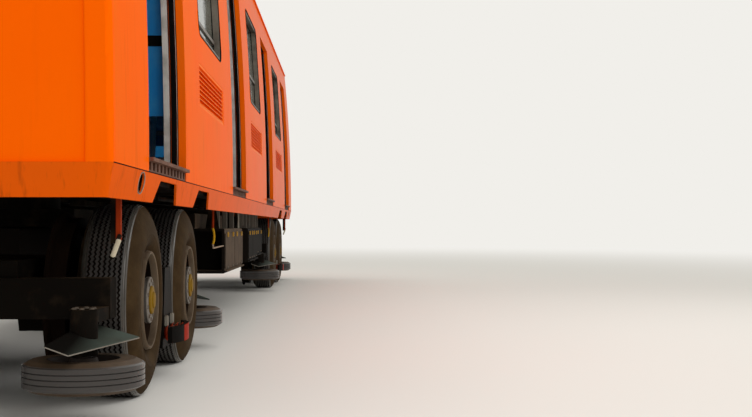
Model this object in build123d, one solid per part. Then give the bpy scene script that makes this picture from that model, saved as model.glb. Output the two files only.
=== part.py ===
from build123d import *
import os
from math import atan, degrees, sqrt

# Rubber-tyred metro car, one car of a coupled train, built in millimetres.
# The origin is on the running surface under the middle of the car.
# +X runs along the car, +Y is its left side and +Z is up.

os.makedirs("parts", exist_ok=True)

# Car body: a straight tube whose side walls are one shallow arc each.
BODY_LENGTH = 15670.0
BODY_WIDTH = 2500.0
WALL_RADIUS = 23400.0
WIDEST_Z = 1145.0
SOLE_Z = 1143.0
FLOOR_TOP_Z = 1212.0
FLOOR_THICK = 47.0
PANEL_TOP_Z = 3125.0
CANT_TOP_Z = 3465.0
CEILING_Z = 3305.0
CEILING_THICK = 20.0
SEAM = 0.5
FIT_GAP = 0.3
RUNNING_GAP = 0.3
HOLE_OVERRUN = 200.0

# Roof: a shallow crown between two cant curves, with gutters and ventilator cowls.
ROOF_RISE = 140.0
ROOF_THICK = 40.0
SHOULDER_INSET = 150.0
SHOULDER_RISE = 84.0
CANT_INSET = 38.0
CANT_RISE = 54.0
GUTTER_Z = 3441.0
GUTTER_HEIGHT = 12.0
GUTTER_OUT = 14.0
VENT_LENGTH = 900.0
VENT_WIDTH = 460.0
VENT_RISE = 52.0
VENT_BEVEL = 24.0

# Wall build-up from outside to inside: skin, door pocket, lining.
SKIN = 43.0
POCKET = 50.0
LINING = 30.0

# Doorways, four a side, each with two leaves that slide into the walls.
END_DOORWAY_SET_IN = 1535.0
INNER_DOORWAY_X = 2100.0
DOOR_CLEAR = 1300.0
SKIN_SETBACK = 5.0
DOOR_TOP_Z = 3085.0
LEAF_WIDTH = 700.0
LEAF_THICK = 36.0
LEAF_GAP = 7.0
LEAF_TOP_Z = 3105.0
LEAF_FRAME = 75.0
LEAF_GLASS_BOTTOM_Z = 2125.0
LEAF_GLASS_TOP_Z = 3005.0
LEAF_GLASS_RADIUS = 70.0

# Door hanging gear above each doorway.
RAIL_WIDTH = 12.0
RAIL_HEIGHT = 30.0
RAIL_BOTTOM_Z = 3130.0
RAIL_REACH = 1345.0
HANGER_LENGTH = 60.0
HANGER_TOP_Z = 3175.0
HANGER_INSET = 100.0
BRACKET_LENGTH = 30.0

# Side windows, one in the middle of each wall between two doorways.
WINDOW_WIDTH = 1400.0
WINDOW_BOTTOM_Z = 2125.0
WINDOW_TOP_Z = 3065.0
WINDOW_RADIUS = 90.0
WINDOW_FRAME = 28.0
FRAME_SETBACK = 6.0
GLASS_DEPTH = 55.0
GLASS_THICK = 6.0
SASH_RAIL = 26.0
SASH_RAIL_OUT = 12.0
SASH_RAIL_Z = (2255.0, 2455.0, 2325.0)

# Air grilles under the side windows.
GRILLE_WIDTH = 1500.0
GRILLE_BOTTOM_Z = 1652.0
GRILLE_TOP_Z = 1933.0
GRILLE_DEPTH = 24.0
GRILLE_FRAME = 18.0
GRILLE_SET_IN = 2.0
GRILLE_SLATS = 8
SLAT_THICK = 6.0
SLAT_RISE = 14.0
SLAT_LIFT = 3.0
SLAT_SET_IN = 4.0

# Skirt along each side, cut away over the wheels, and an apron across each end.
SKIRT_BOTTOM_Z = 1003.0
SKIRT_THICK = 12.0
SKIRT_FLANGE = 12.0
SKIRT_LEAN = 27.0
SKIRT_CORNER = 25.0
APRON_RETURN = 110.0
CUTOUT_TOP = 560.0
CUTOUT_BOTTOM = 820.0
CUTOUT_HEIGHT = 112.0
SLOT_SET_IN = 735.0
SLOT_LENGTH = 160.0
SLOT_HEIGHT = 99.0
SLOT_CENTRE_Z = 1085.0

# Door sill plates.
SILL_OUT = 22.0
SILL_PLATE = 17.0
SILL_TEETH = 11
TOOTH_GAP = 60.0

# Flat ends of the body, each with a middle door, two windows and proud corner posts.
END_THICK = 60.0
END_CORNER = 25.0
POST_WIDTH = 112.0
POST_PROUD = 13.0
POST_TOP_Z = 3375.0
POST_ROUND = 11.0
END_DOOR_WIDTH = 640.0
END_DOOR_TOP_Z = 3075.0
END_DOOR_THICK = 32.0
END_DOOR_SET_IN = 8.0
END_DOOR_GAP = 9.0
END_DOOR_RADIUS = 40.0
END_DOOR_STILE = 110.0
END_DOOR_GLASS_RADIUS = 60.0
END_WINDOW_WIDTH = 480.0
END_WINDOW_Y = 760.0
END_GLASS_SET_IN = 20.0
END_GLASS_THICK = 8.0
HINGE_PIN_RADIUS = 7.0
HINGE_RADIUS = 12.0
HINGE_OUT = 14.0
HINGE_OFFSET = 6.0
HINGE_HALF = 25.0
HINGE_STRAP = (10.0, 40.0)
HINGE_RISES = (250.0, 1600.0)

# Inside: seats in facing pairs beside each window, windbreak panels beside the doorways, grab poles.
SEAT_WIDTH = 800.0
END_SEAT_WIDTH = 660.0
SEAT_DEPTH = 430.0
SEAT_LEAN = 60.0
SEAT_RISE = 430.0
SEAT_BACK_HEIGHT = 480.0
SEAT_SHELL = 30.0
SEAT_ROUND = 12.0
SEAT_WALL_GAP = 10.0
SEAT_BACK_X = 1300.0
END_SEAT_GAP = 40.0
WINDBREAK_THICK = 24.0
WINDBREAK_GAP = 8.0
WINDBREAK_INNER_Y = 330.0
WINDBREAK_BOTTOM_Z = 1535.0
WINDBREAK_TOP_Z = 2945.0
PEDESTAL_THICK = 30.0
PEDESTAL_TOP = (120.0, 430.0)
PEDESTAL_FOOT = (160.0, 330.0)
PEDESTAL_INSET = 105.0
POLE_RADIUS = 17.0

# Underframe.
SILL_BEAM_WIDTH = 122.0
END_BEAM_WIDTH = 200.0
UNDERFRAME_BOTTOM_Z = 1095.0
CENTRE_BEAM_Y = 420.0
CENTRE_BEAM_WIDTH = 90.0
CROSS_BEAM_LENGTH = 80.0
MIDDLE_CROSS_BEAM_X = (0.0, 1150.0, 2300.0, 3450.0)
BOGIE_CROSS_BEAM_OFFSETS = (-1050.0, 1150.0)
BOLSTER_LENGTH = 900.0
RING_RADIUS = 480.0
RING_TOP_Z = 1045.0
RING_HEIGHT = 60.0
EQUIPMENT_REACH = 2850.0
EQUIPMENT_RAIL_Y = (950.0, 1060.0)
EQUIPMENT_RAIL_DEPTH = 40.0
MIDDLE_RAIL_HALF = 60.0
JACK_PAD_X = 3000.0
JACK_PAD_SIZE = 200.0
JACK_PAD_BOTTOM_Z = 1035.0

# Bogies.
BOGIE_SET_IN = 2335.0
WHEEL_BASE = 1560.0
TYRE_RADIUS = 500.0
TYRE_WIDTH = 280.0
TYRE_OUTER_Y = 1140.0
TYRE_SHOULDER = 50.0
TYRE_BULGE_RADIUS = 380.0
TREAD_SHOULDER = 45.0
BEAD_INSET = 22.0
RIM_RADIUS = 262.0
SIDE_BEAM_Y = 570.0
SIDE_BEAM_WIDTH = 140.0
SIDE_BEAM_TOP_Z = 725.0
SIDE_BEAM_MIDDLE_Z = 545.0
SIDE_BEAM_END_Z = 605.0
SIDE_BEAM_REACH = 1460.0
AXLE_BOX_TOP_LENGTH = 420.0
AXLE_BOX_LENGTH = 260.0
AXLE_BOX_BOTTOM_Z = 350.0
JOURNAL_RADIUS = 65.0
TRANSOM_X = 250.0
TRANSOM_Z = 645.0
TRANSOM_RADIUS = 70.0
SPRING_RADIUS = 78.0
SPRING_WAIST = 58.0
SPRING_X = 150.0
SPRING_LAYERS = 4
BOLSTER_BOTTOM_Z = 885.0
BOLSTER_HALF = 260.0
BOLSTER_OVERHANG = 60.0
END_BEAM_X = 1430.0
END_BEAM_LENGTH = 140.0
END_BEAM_TOP_Z = 645.0
END_BEAM_BOTTOM_Z = 455.0
END_BEAM_HALF = 1080.0

# Guide wheels, which lie flat at the corners of each bogie, with a sloping guard sheet over each.
GUIDE_X = 1690.0
GUIDE_Y = 1000.0
GUIDE_RADIUS = 270.0
GUIDE_BOTTOM_Z = 155.0
GUIDE_HEIGHT = 140.0
GUIDE_GROOVES = 4
GUIDE_GROOVE_DEPTH = 6.0
GUIDE_SHOULDER = 22.0
GUIDE_SIDEWALL = 40.0
GUIDE_BEAD_RADIUS = 160.0
GUIDE_DISH = 35.0
GUIDE_HUB_RADIUS = 60.0
GUIDE_HUB_RISE = 5.0
GUIDE_HUB_EDGE = 10.0
GUIDE_PIN_RADIUS = 35.0
GUIDE_PIN_TOP_Z = 497.0
GUIDE_BOSS_RADIUS = 62.0
GUIDE_BOSS_BOTTOM_Z = 310.0
GUIDE_ARM_TOP_Z = 515.0
GUIDE_ARM_ROOT = 80.0
GUARD_THICK = 6.0
GUARD_CORNERS = ((240.0, 205.0), (-350.0, 10.0), (-350.0, -90.0), (180.0, -20.0))
GUARD_Z = 402.0
GUARD_SLOPE_X = 0.158
GUARD_SLOPE_Y = -0.373

# Collector gear between the tyres of each side.
COLLECTOR_ARM_HALF = 60.0
COLLECTOR_ARM_Z = (585.0, 645.0)
COLLECTOR_PLATE_Y = (1100.0, 1124.0)
COLLECTOR_PLATE_TOP = 110.0
COLLECTOR_PLATE_FOOT = 190.0
COLLECTOR_PLATE_BOTTOM_Z = 185.0
INSULATOR_X = 105.0
INSULATOR_Z = 267.0
INSULATOR_RADIUS = 42.0
INSULATOR_WAIST = 30.0
INSULATOR_RIBS = 3
SHOE_REACH = 270.0
SHOE_OUT_Y = 1243.0
SHOE_TOE_Y = 1190.0
SHOE_THICK = 26.0
SHOE_Z = (221.0, 313.0)

# Safety wheels of steel, inboard of the tyres.
SAFETY_OUTER_Y = 800.0
SAFETY_WIDTH = 100.0
SAFETY_RADIUS = 430.0
SAFETY_RIM = 50.0
FLANGE_RADIUS = 460.0
FLANGE_WIDTH = 30.0
WHEEL_WEB = 20.0

# Wheel hub: a bolted flange, a raised drum and a round cap, then the dished disc behind them.
HUB_CAP_RADIUS = 56.0
HUB_CAP_SET_IN = 36.0
HUB_DRUM_RADIUS = 88.0
HUB_DRUM_SET_IN = 48.0
HUB_FLANGE_RADIUS = 122.0
HUB_FLANGE_SET_IN = 66.0
HUB_FLANGE_THICK = 44.0
HUB_EDGE = 4.0
HUB_WAIST_RADIUS = 105.0
HUB_WAIST_SET_IN = 190.0
DISC_RADIUS = 150.0
DISC_SET_IN = 150.0
RIM_DEPTH = 22.0
RIM_EDGE = 8.0
SAFETY_DISH = 35.0
AXLE_COLLAR_RADIUS = 95.0
AXLE_COLLAR_LENGTH = 30.0

# Couplers: a drawbar on an upright pin, with a square head, a centring pin and a hole for the next one.
COUPLER_FACE_OUT = 255.0
COUPLER_PIVOT_SET_IN = 485.0
COUPLER_Z = 845.0
COUPLER_BAR_RADIUS = 55.0
COUPLER_PIN_RADIUS = 30.0
COUPLER_EYE_RADIUS = 75.0
COUPLER_EYE_HEIGHT = 110.0
COUPLER_HEAD_HALF = 150.0
COUPLER_HEAD_RISE = 120.0
COUPLER_HEAD_LENGTH = 130.0
COUPLER_THROAT = 170.0
COUPLER_HEAD_ROUND = 25.0
CENTRING_Y = 70.0
CENTRING_BORE_RADIUS = 40.0
CENTRING_BORE_LENGTH = 120.0
CENTRING_PIN_RADIUS = 36.0
CENTRING_PIN_LENGTH = 95.0
CENTRING_PIN_TIP = 20.0
POCKET_FRONT = 130.0
POCKET_BACK = 160.0
POCKET_HALF = 200.0
POCKET_CHEEK = 50.0
POCKET_SHELF = 40.0
POCKET_SHELF_RISE = 70.0

# Equipment under the floor: x range, y range and z range of each box, then its number of doors.
EQUIPMENT = (
    ((-2200.0, -450.0), (-1125.0, -650.0), (475.0, 865.0), 2),
    ((300.0, 1500.0), (-1125.0, -600.0), (495.0, 865.0), 2),
    ((1750.0, 2700.0), (-1100.0, -560.0), (525.0, 865.0), 1),
    ((-2500.0, -900.0), (560.0, 1125.0), (475.0, 865.0), 3),
    ((-600.0, 700.0), (600.0, 1125.0), (495.0, 865.0), 2),
    ((1000.0, 2400.0), (560.0, 1125.0), (515.0, 865.0), 2),
)
BOX_ROUND = 12.0
BOX_DOOR_PROUD = 8.0
BOX_DOOR_MARGIN = 22.0
BOX_LIP_OUT = 22.0
BOX_LIP_THICK = 14.0
RACK_WALL = 24.0
RACK_DEPTH = 300.0
BOX_HANGER_INSET = 120.0
BOX_HANGER_THICK = 12.0
BOX_HANGER_FOOT = (60.0, 180.0)
BOX_HANGER_HEAD = (90.0, 150.0)
TANK_RADIUS = 190.0
TANK_LENGTH = 1500.0
TANK_DISH = 60.0
TANK_CENTRES = ((-1500.0, 0.0, 745.0), (1300.0, 0.0, 745.0))
STRAP_HALF_LENGTH = 25.0
STRAP_HALF_WIDTH = 40.0
STRAP_BITE = 20.0

# Corner fittings: an angle and a plate under each body corner, with a brake cock handle.
FITTING_SET_IN = 565.0
FITTING_PLATE_X = 4.0
FITTING_PLATE_INSET = 90.0
FITTING_PLATE_WIDTH = 26.0
FITTING_PLATE_BOTTOM_Z = 812.0
FITTING_ANGLE_X = 16.0
FITTING_ANGLE_THICK = 18.0
FITTING_ANGLE_BOTTOM_Z = 825.0
SPINDLE_Z = 844.0
HANDLE_SEAT = 2.0
HANDLE_THICK = 12.0
HANDLE_WIDTH = 18.0
HANDLE_DROP = 92.0
HANDLE_SWING = 30.0

HALF_BODY = BODY_LENGTH / 2
HALF_WIDTH = BODY_WIDTH / 2
ARC_CENTRE_Y = HALF_WIDTH - WALL_RADIUS
ROOF_TOP_Z = CANT_TOP_Z + ROOF_RISE
VENT_TOP_Z = ROOF_TOP_Z + VENT_RISE
END_DOORWAY_X = HALF_BODY - END_DOORWAY_SET_IN
DOOR_CENTRES = (-END_DOORWAY_X, -INNER_DOORWAY_X, INNER_DOORWAY_X, END_DOORWAY_X)
WINDOW_CENTRES = [(DOOR_CENTRES[n] + DOOR_CENTRES[n + 1]) / 2 for n in range(len(DOOR_CENTRES) - 1)]
VENT_CENTRES = sorted(list(DOOR_CENTRES) + WINDOW_CENTRES)
SLOT_X = HALF_BODY - SLOT_SET_IN
BOGIE_X = HALF_BODY - BOGIE_SET_IN
CROSS_BEAM_X = list(MIDDLE_CROSS_BEAM_X) + [BOGIE_X + offset for offset in BOGIE_CROSS_BEAM_OFFSETS]
COUPLER_FACE_X = HALF_BODY + COUPLER_FACE_OUT
COUPLER_PIVOT_X = HALF_BODY - COUPLER_PIVOT_SET_IN
FITTING_X = HALF_BODY - FITTING_SET_IN
FITTING_PLATE_OUTER_Y = HALF_WIDTH - FITTING_PLATE_INSET
FITTING_PLATE_Y = (FITTING_PLATE_OUTER_Y - FITTING_PLATE_WIDTH, FITTING_PLATE_OUTER_Y)
FITTING_ANGLE_Y = (FITTING_PLATE_OUTER_Y, FITTING_PLATE_OUTER_Y + FITTING_ANGLE_THICK)
HANDLE_Y = FITTING_ANGLE_Y[1] - HANDLE_SEAT
AXLE_Z = TYRE_RADIUS
WALL = SKIN + POCKET + LINING
FLOOR_BOTTOM_Z = FLOOR_TOP_Z - FLOOR_THICK
LEAF_DEPTH = SKIN + LEAF_GAP
LEAF_BOTTOM_Z = FLOOR_TOP_Z + LEAF_GAP
INNER_END = HALF_BODY - END_THICK
BEAM_Z = (UNDERFRAME_BOTTOM_Z, FLOOR_BOTTOM_Z)
BEAM_OUTER_Y = HALF_WIDTH - SKIN - FIT_GAP
SILL_BEAM_INNER_Y = BEAM_OUTER_Y - SILL_BEAM_WIDTH
CENTRE_BEAM_INNER_Y = CENTRE_BEAM_Y - CENTRE_BEAM_WIDTH
EQUIPMENT_RAIL_BOTTOM_Z = UNDERFRAME_BOTTOM_Z - EQUIPMENT_RAIL_DEPTH
SEAT_TOP_Z = FLOOR_TOP_Z + SEAT_RISE
SEAT_OUTER_Z = SEAT_TOP_Z + SEAT_BACK_HEIGHT
HINGE_X = INNER_END - HINGE_OUT
HINGE_Z = [FLOOR_TOP_Z + rise for rise in HINGE_RISES]
HINGE_Y = END_DOOR_WIDTH / 2 + HINGE_OFFSET


def block(x, y, z):
    """A box given by its two ends along each axis, in either order."""
    size = [abs(far - near) for near, far in (x, y, z)]
    middle = [(far + near) / 2 for near, far in (x, y, z)]
    return Pos(*middle) * Box(*size)


def wall_y(depth, z):
    """Half width of the body at height z, a depth in from the outer face."""
    return ARC_CENTRE_Y + sqrt((WALL_RADIUS - depth) ** 2 - (z - WIDEST_Z) ** 2)


def wall_strip(x, z, depth_out, depth_in):
    """A stretch of the curved left wall between two depths and two heights."""
    low, high = z
    middle = (low + high) / 2
    edge = Polyline((wall_y(depth_in, high), high), (wall_y(depth_out, high), high))
    foot = Polyline((wall_y(depth_out, low), low), (wall_y(depth_in, low), low))
    outer = ThreePointArc((wall_y(depth_out, high), high),
                          (wall_y(depth_out, middle), middle),
                          (wall_y(depth_out, low), low))
    inner = ThreePointArc((wall_y(depth_in, low), low),
                          (wall_y(depth_in, middle), middle),
                          (wall_y(depth_in, high), high))
    face = make_face([edge, outer, foot, inner])
    return extrude(Plane.YZ * face, x[1] - x[0]).moved(Location((x[0], 0, 0)))


def rounded_hole(x, z, radius):
    """A prism across the left half of the car, rounded in side view."""
    outline = RectangleRounded(x[1] - x[0], z[1] - z[0], radius)
    place = Plane(origin=((x[0] + x[1]) / 2, HALF_WIDTH + SILL_OUT, (z[0] + z[1]) / 2),
                  x_dir=(-1, 0, 0), z_dir=(0, 1, 0))
    return extrude(place * outline, -(WALL + HOLE_OVERRUN))


def side_profile(points, y):
    """A plate with an outline in side view, between two places across the car."""
    outline = make_face(Polyline(*points, close=True))
    return extrude(Plane.XZ * outline, y[0] - y[1]).moved(Location((0, y[0], 0)))


def cross_profile(points, x):
    """A plate with an outline seen from the end, between two places along the car."""
    outline = make_face(Polyline(*points, close=True))
    return extrude(Plane.YZ * outline, x[1] - x[0]).moved(Location((x[0], 0, 0)))


def mirrored(shapes):
    """The same solids on the right side of the car."""
    return [mirror(shape, about=Plane.XZ) for shape in shapes]


def both_sides(shapes):
    return shapes + mirrored(shapes)


def both_ends(shapes):
    """The same solids at both ends, the second set turned half round."""
    return shapes + [shape.rotate(Axis.Z, 180) for shape in shapes]


def save(name, shapes):
    """Write one node from a solid or a list of solids."""
    group = shapes if isinstance(shapes, list) else [shapes]
    solids = []
    for shape in group:
        solids.extend(shape.solids())
    shape = solids[0] if len(solids) == 1 else Compound(children=solids)
    export_step(shape, "parts/" + name + ".step")


def panel_spans(setback):
    """The stretches of wall between the doorways and the ends of the body."""
    half = DOOR_CLEAR / 2 + setback
    edges = [-INNER_END]
    for centre in DOOR_CENTRES:
        edges += [centre - half, centre + half]
    edges.append(INNER_END)
    return list(zip(edges[0::2], edges[1::2]))


def window_span(centre, margin):
    return (centre - WINDOW_WIDTH / 2 + margin, centre + WINDOW_WIDTH / 2 - margin)


def window_hole(centre, margin):
    """The window opening, or a smaller one a margin inside it."""
    z = (WINDOW_BOTTOM_Z + margin, WINDOW_TOP_Z - margin)
    return rounded_hole(window_span(centre, margin), z, WINDOW_RADIUS - margin)


# Outer side panels, one solid between two doorways, with window and grille recess.
def side_panels():
    panels = []
    for span in panel_spans(SKIN_SETBACK):
        panel = wall_strip(span, (SOLE_Z, PANEL_TOP_Z), 0, SKIN)
        for centre in WINDOW_CENTRES:
            if span[0] < centre < span[1]:
                panel -= window_hole(centre, 0)
                half = GRILLE_WIDTH / 2
                panel -= wall_strip((centre - half, centre + half),
                                    (GRILLE_BOTTOM_Z, GRILLE_TOP_Z), -1, GRILLE_DEPTH)
        panels.append(panel)
    return panels


# Pressed air grille: a frame with sloping slats that sits in the panel's recess.
def grilles():
    made = []
    for centre in WINDOW_CENTRES:
        half = GRILLE_WIDTH / 2
        z = (GRILLE_BOTTOM_Z, GRILLE_TOP_Z)
        grille = wall_strip((centre - half, centre + half), z, GRILLE_SET_IN, GRILLE_DEPTH)
        inner = (centre - half + GRILLE_FRAME, centre + half - GRILLE_FRAME)
        grille -= wall_strip(inner, (z[0] + GRILLE_FRAME, z[1] - GRILLE_FRAME), 0, GRILLE_DEPTH + 1)
        pitch = (z[1] - z[0] - 2 * GRILLE_FRAME) / GRILLE_SLATS
        for number in range(GRILLE_SLATS):
            low = z[0] + GRILLE_FRAME + number * pitch + SLAT_LIFT
            y_in = wall_y(GRILLE_DEPTH - 1, low)
            y_out = wall_y(SLAT_SET_IN, low)
            slat = [(y_out, low), (y_in, low + SLAT_RISE), (y_in, low + SLAT_RISE + SLAT_THICK),
                    (y_out, low + SLAT_THICK)]
            grille += cross_profile(slat, (inner[0] - GRILLE_FRAME / 2, inner[1] + GRILLE_FRAME / 2))
        made.append(grille)
    return made


# Band above the doorways that carries the roof, with the rain gutter along its top.
def letterboard():
    x = (-INNER_END, INNER_END)
    board = wall_strip(x, (PANEL_TOP_Z, CANT_TOP_Z), 0, SKIN)
    return board + wall_strip(x, (GUTTER_Z, GUTTER_Z + GUTTER_HEIGHT), -GUTTER_OUT, SKIN / 2)


def foot_band(inset):
    """The solid inside the leaning band round the car's foot, an inset in from its outer face."""
    lean = SKIRT_LEAN + inset
    corner = SKIRT_CORNER - inset
    top = RectangleRounded(BODY_LENGTH - 2 * inset, BODY_WIDTH - 2 * inset, corner)
    foot = RectangleRounded(BODY_LENGTH - 2 * lean, BODY_WIDTH - 2 * lean, corner)
    return loft([Pos(0, 0, SKIRT_BOTTOM_Z) * foot, Pos(0, 0, SOLE_Z) * top])


# Skirts and end aprons: one leaning band with a top flange, cut over the tyres and then into four.
def skirts():
    outer = foot_band(0)
    band = outer - foot_band(SKIRT_THICK)
    flange = outer & block((-HALF_BODY, HALF_BODY), (-HALF_WIDTH, HALF_WIDTH),
                           (SOLE_Z - SKIRT_FLANGE, SOLE_Z))
    flange -= block((SKIN - HALF_BODY, HALF_BODY - SKIN), (SKIN - HALF_WIDTH, HALF_WIDTH - SKIN),
                    (SKIRT_BOTTOM_Z, SOLE_Z + 1))
    band += flange
    for bogie_x in (-BOGIE_X, BOGIE_X):
        for axle_x in (-WHEEL_BASE / 2, WHEEL_BASE / 2):
            x = bogie_x + axle_x
            low = SKIRT_BOTTOM_Z
            arch = [(x - CUTOUT_BOTTOM / 2, low - 1), (x + CUTOUT_BOTTOM / 2, low - 1),
                    (x + CUTOUT_TOP / 2, low + CUTOUT_HEIGHT), (x - CUTOUT_TOP / 2, low + CUTOUT_HEIGHT)]
            band -= side_profile(arch, (-BODY_WIDTH, BODY_WIDTH))
    for x in (-SLOT_X, SLOT_X):
        slot = Plane.XZ * Pos(x, SLOT_CENTRE_Z) * SlotOverall(SLOT_LENGTH, SLOT_HEIGHT)
        band -= extrude(slot, BODY_WIDTH, both=True)
    cut = HALF_BODY - APRON_RETURN
    z = (SKIRT_BOTTOM_Z, SOLE_Z)
    side = band & block((-cut, cut), (0, BODY_WIDTH), z)
    apron = band & block((cut, BODY_LENGTH), (-BODY_WIDTH, BODY_WIDTH), z)
    return both_sides([side]) + both_ends([apron])


# Door sills: a tread plate on a comb of short feet over the side beam.
def sills():
    made = []
    for centre in DOOR_CENTRES:
        x = (centre - DOOR_CLEAR / 2, centre + DOOR_CLEAR / 2)
        y_in = HALF_WIDTH - WALL
        plate = block(x, (y_in, HALF_WIDTH + SILL_OUT), (FLOOR_TOP_Z - SILL_PLATE, FLOOR_TOP_Z))
        base = block(x, (HALF_WIDTH - SKIN, HALF_WIDTH - SKIRT_THICK / 2),
                     (SOLE_Z, FLOOR_TOP_Z - SILL_PLATE))
        pitch = DOOR_CLEAR / SILL_TEETH
        for number in range(SILL_TEETH):
            start = x[0] + (number + 0.5) * pitch - TOOTH_GAP / 2
            base -= block((start, start + TOOTH_GAP), (HALF_WIDTH - SKIN / 2, HALF_WIDTH),
                          (SOLE_Z + SKIRT_FLANGE, FLOOR_TOP_Z - SILL_PLATE))
        made.append(plate + base)
    return made


def roof_edge(drop):
    """The roof's outline seen from the end, a drop in from its outer face."""
    edge_y = wall_y(0, CANT_TOP_Z)
    half = edge_y - drop
    cant = (half - CANT_INSET, CANT_TOP_Z + CANT_RISE - 0.55 * drop)
    shoulder = (edge_y - SHOULDER_INSET - 0.3 * drop, CANT_TOP_Z + SHOULDER_RISE - drop)
    side = ThreePointArc((half, CANT_TOP_Z), cant, shoulder)
    top = ThreePointArc(shoulder, (0, ROOF_TOP_Z - drop), (-shoulder[0], shoulder[1]))
    other = ThreePointArc((-shoulder[0], shoulder[1]), (-cant[0], cant[1]), (-half, CANT_TOP_Z))
    return [side, top, other], half


# Roof sheet, and the ventilator cowls that stand on it in a row.
def roof():
    outer, edge_y = roof_edge(0)
    inner, inner_y = roof_edge(ROOF_THICK)
    right = Line((-edge_y, CANT_TOP_Z), (-inner_y, CANT_TOP_Z))
    left = Line((edge_y, CANT_TOP_Z), (inner_y, CANT_TOP_Z))
    sheet = extrude(Plane.YZ * make_face(outer + [right] + inner + [left]), 2 * INNER_END)
    sheet = sheet.moved(Location((-INNER_END, 0, 0)))
    below = outer + [Line((-edge_y, CANT_TOP_Z), (edge_y, CANT_TOP_Z))]
    solid = extrude(Plane.YZ * make_face(below), 2 * INNER_END).moved(Location((-INNER_END, 0, 0)))
    vents = []
    for centre in VENT_CENTRES:
        vent = block((centre - VENT_LENGTH / 2, centre + VENT_LENGTH / 2),
                     (-VENT_WIDTH / 2, VENT_WIDTH / 2), (ROOF_TOP_Z - ROOF_THICK, VENT_TOP_Z))
        vent = chamfer(vent.faces().sort_by(Axis.Z)[-1].edges(), VENT_BEVEL)
        vents.append(vent - solid)
    return [sheet] + vents


def window_seats():
    """Back edge along X of each seat beside a window, and the way that the seat faces."""
    places = []
    for centre in WINDOW_CENTRES:
        places += [(centre - SEAT_BACK_X, 1), (centre + SEAT_BACK_X, -1)]
    return places


# Linings between the doorways, and the windbreak panels that stand out from them behind the seats.
def linings():
    made = []
    for span in panel_spans(0):
        panel = wall_strip(span, (FLOOR_TOP_Z, DOOR_TOP_Z), SKIN + POCKET, WALL)
        for centre in WINDOW_CENTRES:
            if span[0] < centre < span[1]:
                panel -= window_hole(centre, 0)
        made.append(panel)
    z = (WINDBREAK_BOTTOM_Z, WINDBREAK_TOP_Z)
    for back_x, way in window_seats():
        near = back_x - way * WINDBREAK_GAP
        x = sorted((near, near - way * WINDBREAK_THICK))
        windbreak = wall_strip(x, z, WALL, WALL + SEAT_WIDTH)
        made.append(windbreak & block(x, (WINDBREAK_INNER_Y, HALF_WIDTH), z))
    return made


# Ceiling with a cover along each side above the doorways.
def ceiling():
    half = wall_y(WALL, CEILING_Z)
    sheet = block((-INNER_END, INNER_END), (-half, half), (CEILING_Z, CEILING_Z + CEILING_THICK))
    cover = wall_strip((-INNER_END, INNER_END), (DOOR_TOP_Z + SEAM, CEILING_Z - SEAM), SKIN + POCKET, WALL)
    return [sheet] + both_sides([cover])


# Window frames fill the wall's thickness; a rail crosses each one.
def window_frames():
    made = []
    for centre, rail_z in zip(WINDOW_CENTRES, SASH_RAIL_Z):
        around = (WINDOW_BOTTOM_Z - WINDOW_FRAME, WINDOW_TOP_Z + WINDOW_FRAME)
        body = wall_strip(window_span(centre, -WINDOW_FRAME), around, FRAME_SETBACK, WALL)
        frame = body & window_hole(centre, 0)
        frame -= window_hole(centre, WINDOW_FRAME)
        rail = wall_strip(window_span(centre, WINDOW_FRAME / 2), (rail_z, rail_z + SASH_RAIL),
                          GLASS_DEPTH - SASH_RAIL_OUT, GLASS_DEPTH + GLASS_THICK + SASH_RAIL_OUT)
        made.append(frame + rail)
    return made


def window_glass():
    made = []
    for centre, rail_z in zip(WINDOW_CENTRES, SASH_RAIL_Z):
        for z in ((WINDOW_BOTTOM_Z, rail_z), (rail_z + SASH_RAIL, WINDOW_TOP_Z)):
            pane = wall_strip(window_span(centre, 0), z, GLASS_DEPTH, GLASS_DEPTH + GLASS_THICK)
            made.append(pane & window_hole(centre, WINDOW_FRAME))
    return made


def end_opening(y, z, radius):
    """A prism through the end wall, rounded seen from the end."""
    outline = RectangleRounded(y[1] - y[0], z[1] - z[0], radius)
    place = Plane(origin=(INNER_END - END_THICK, (y[0] + y[1]) / 2, (z[0] + z[1]) / 2),
                  x_dir=(0, 1, 0), z_dir=(1, 0, 0))
    return extrude(place * outline, 3 * END_THICK)


def end_window(sign, margin):
    half = END_WINDOW_WIDTH / 2 - margin
    y = (sign * END_WINDOW_Y - half, sign * END_WINDOW_Y + half)
    return end_opening(y, (WINDOW_BOTTOM_Z + margin, WINDOW_TOP_Z - margin), WINDOW_RADIUS - margin)


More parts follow.
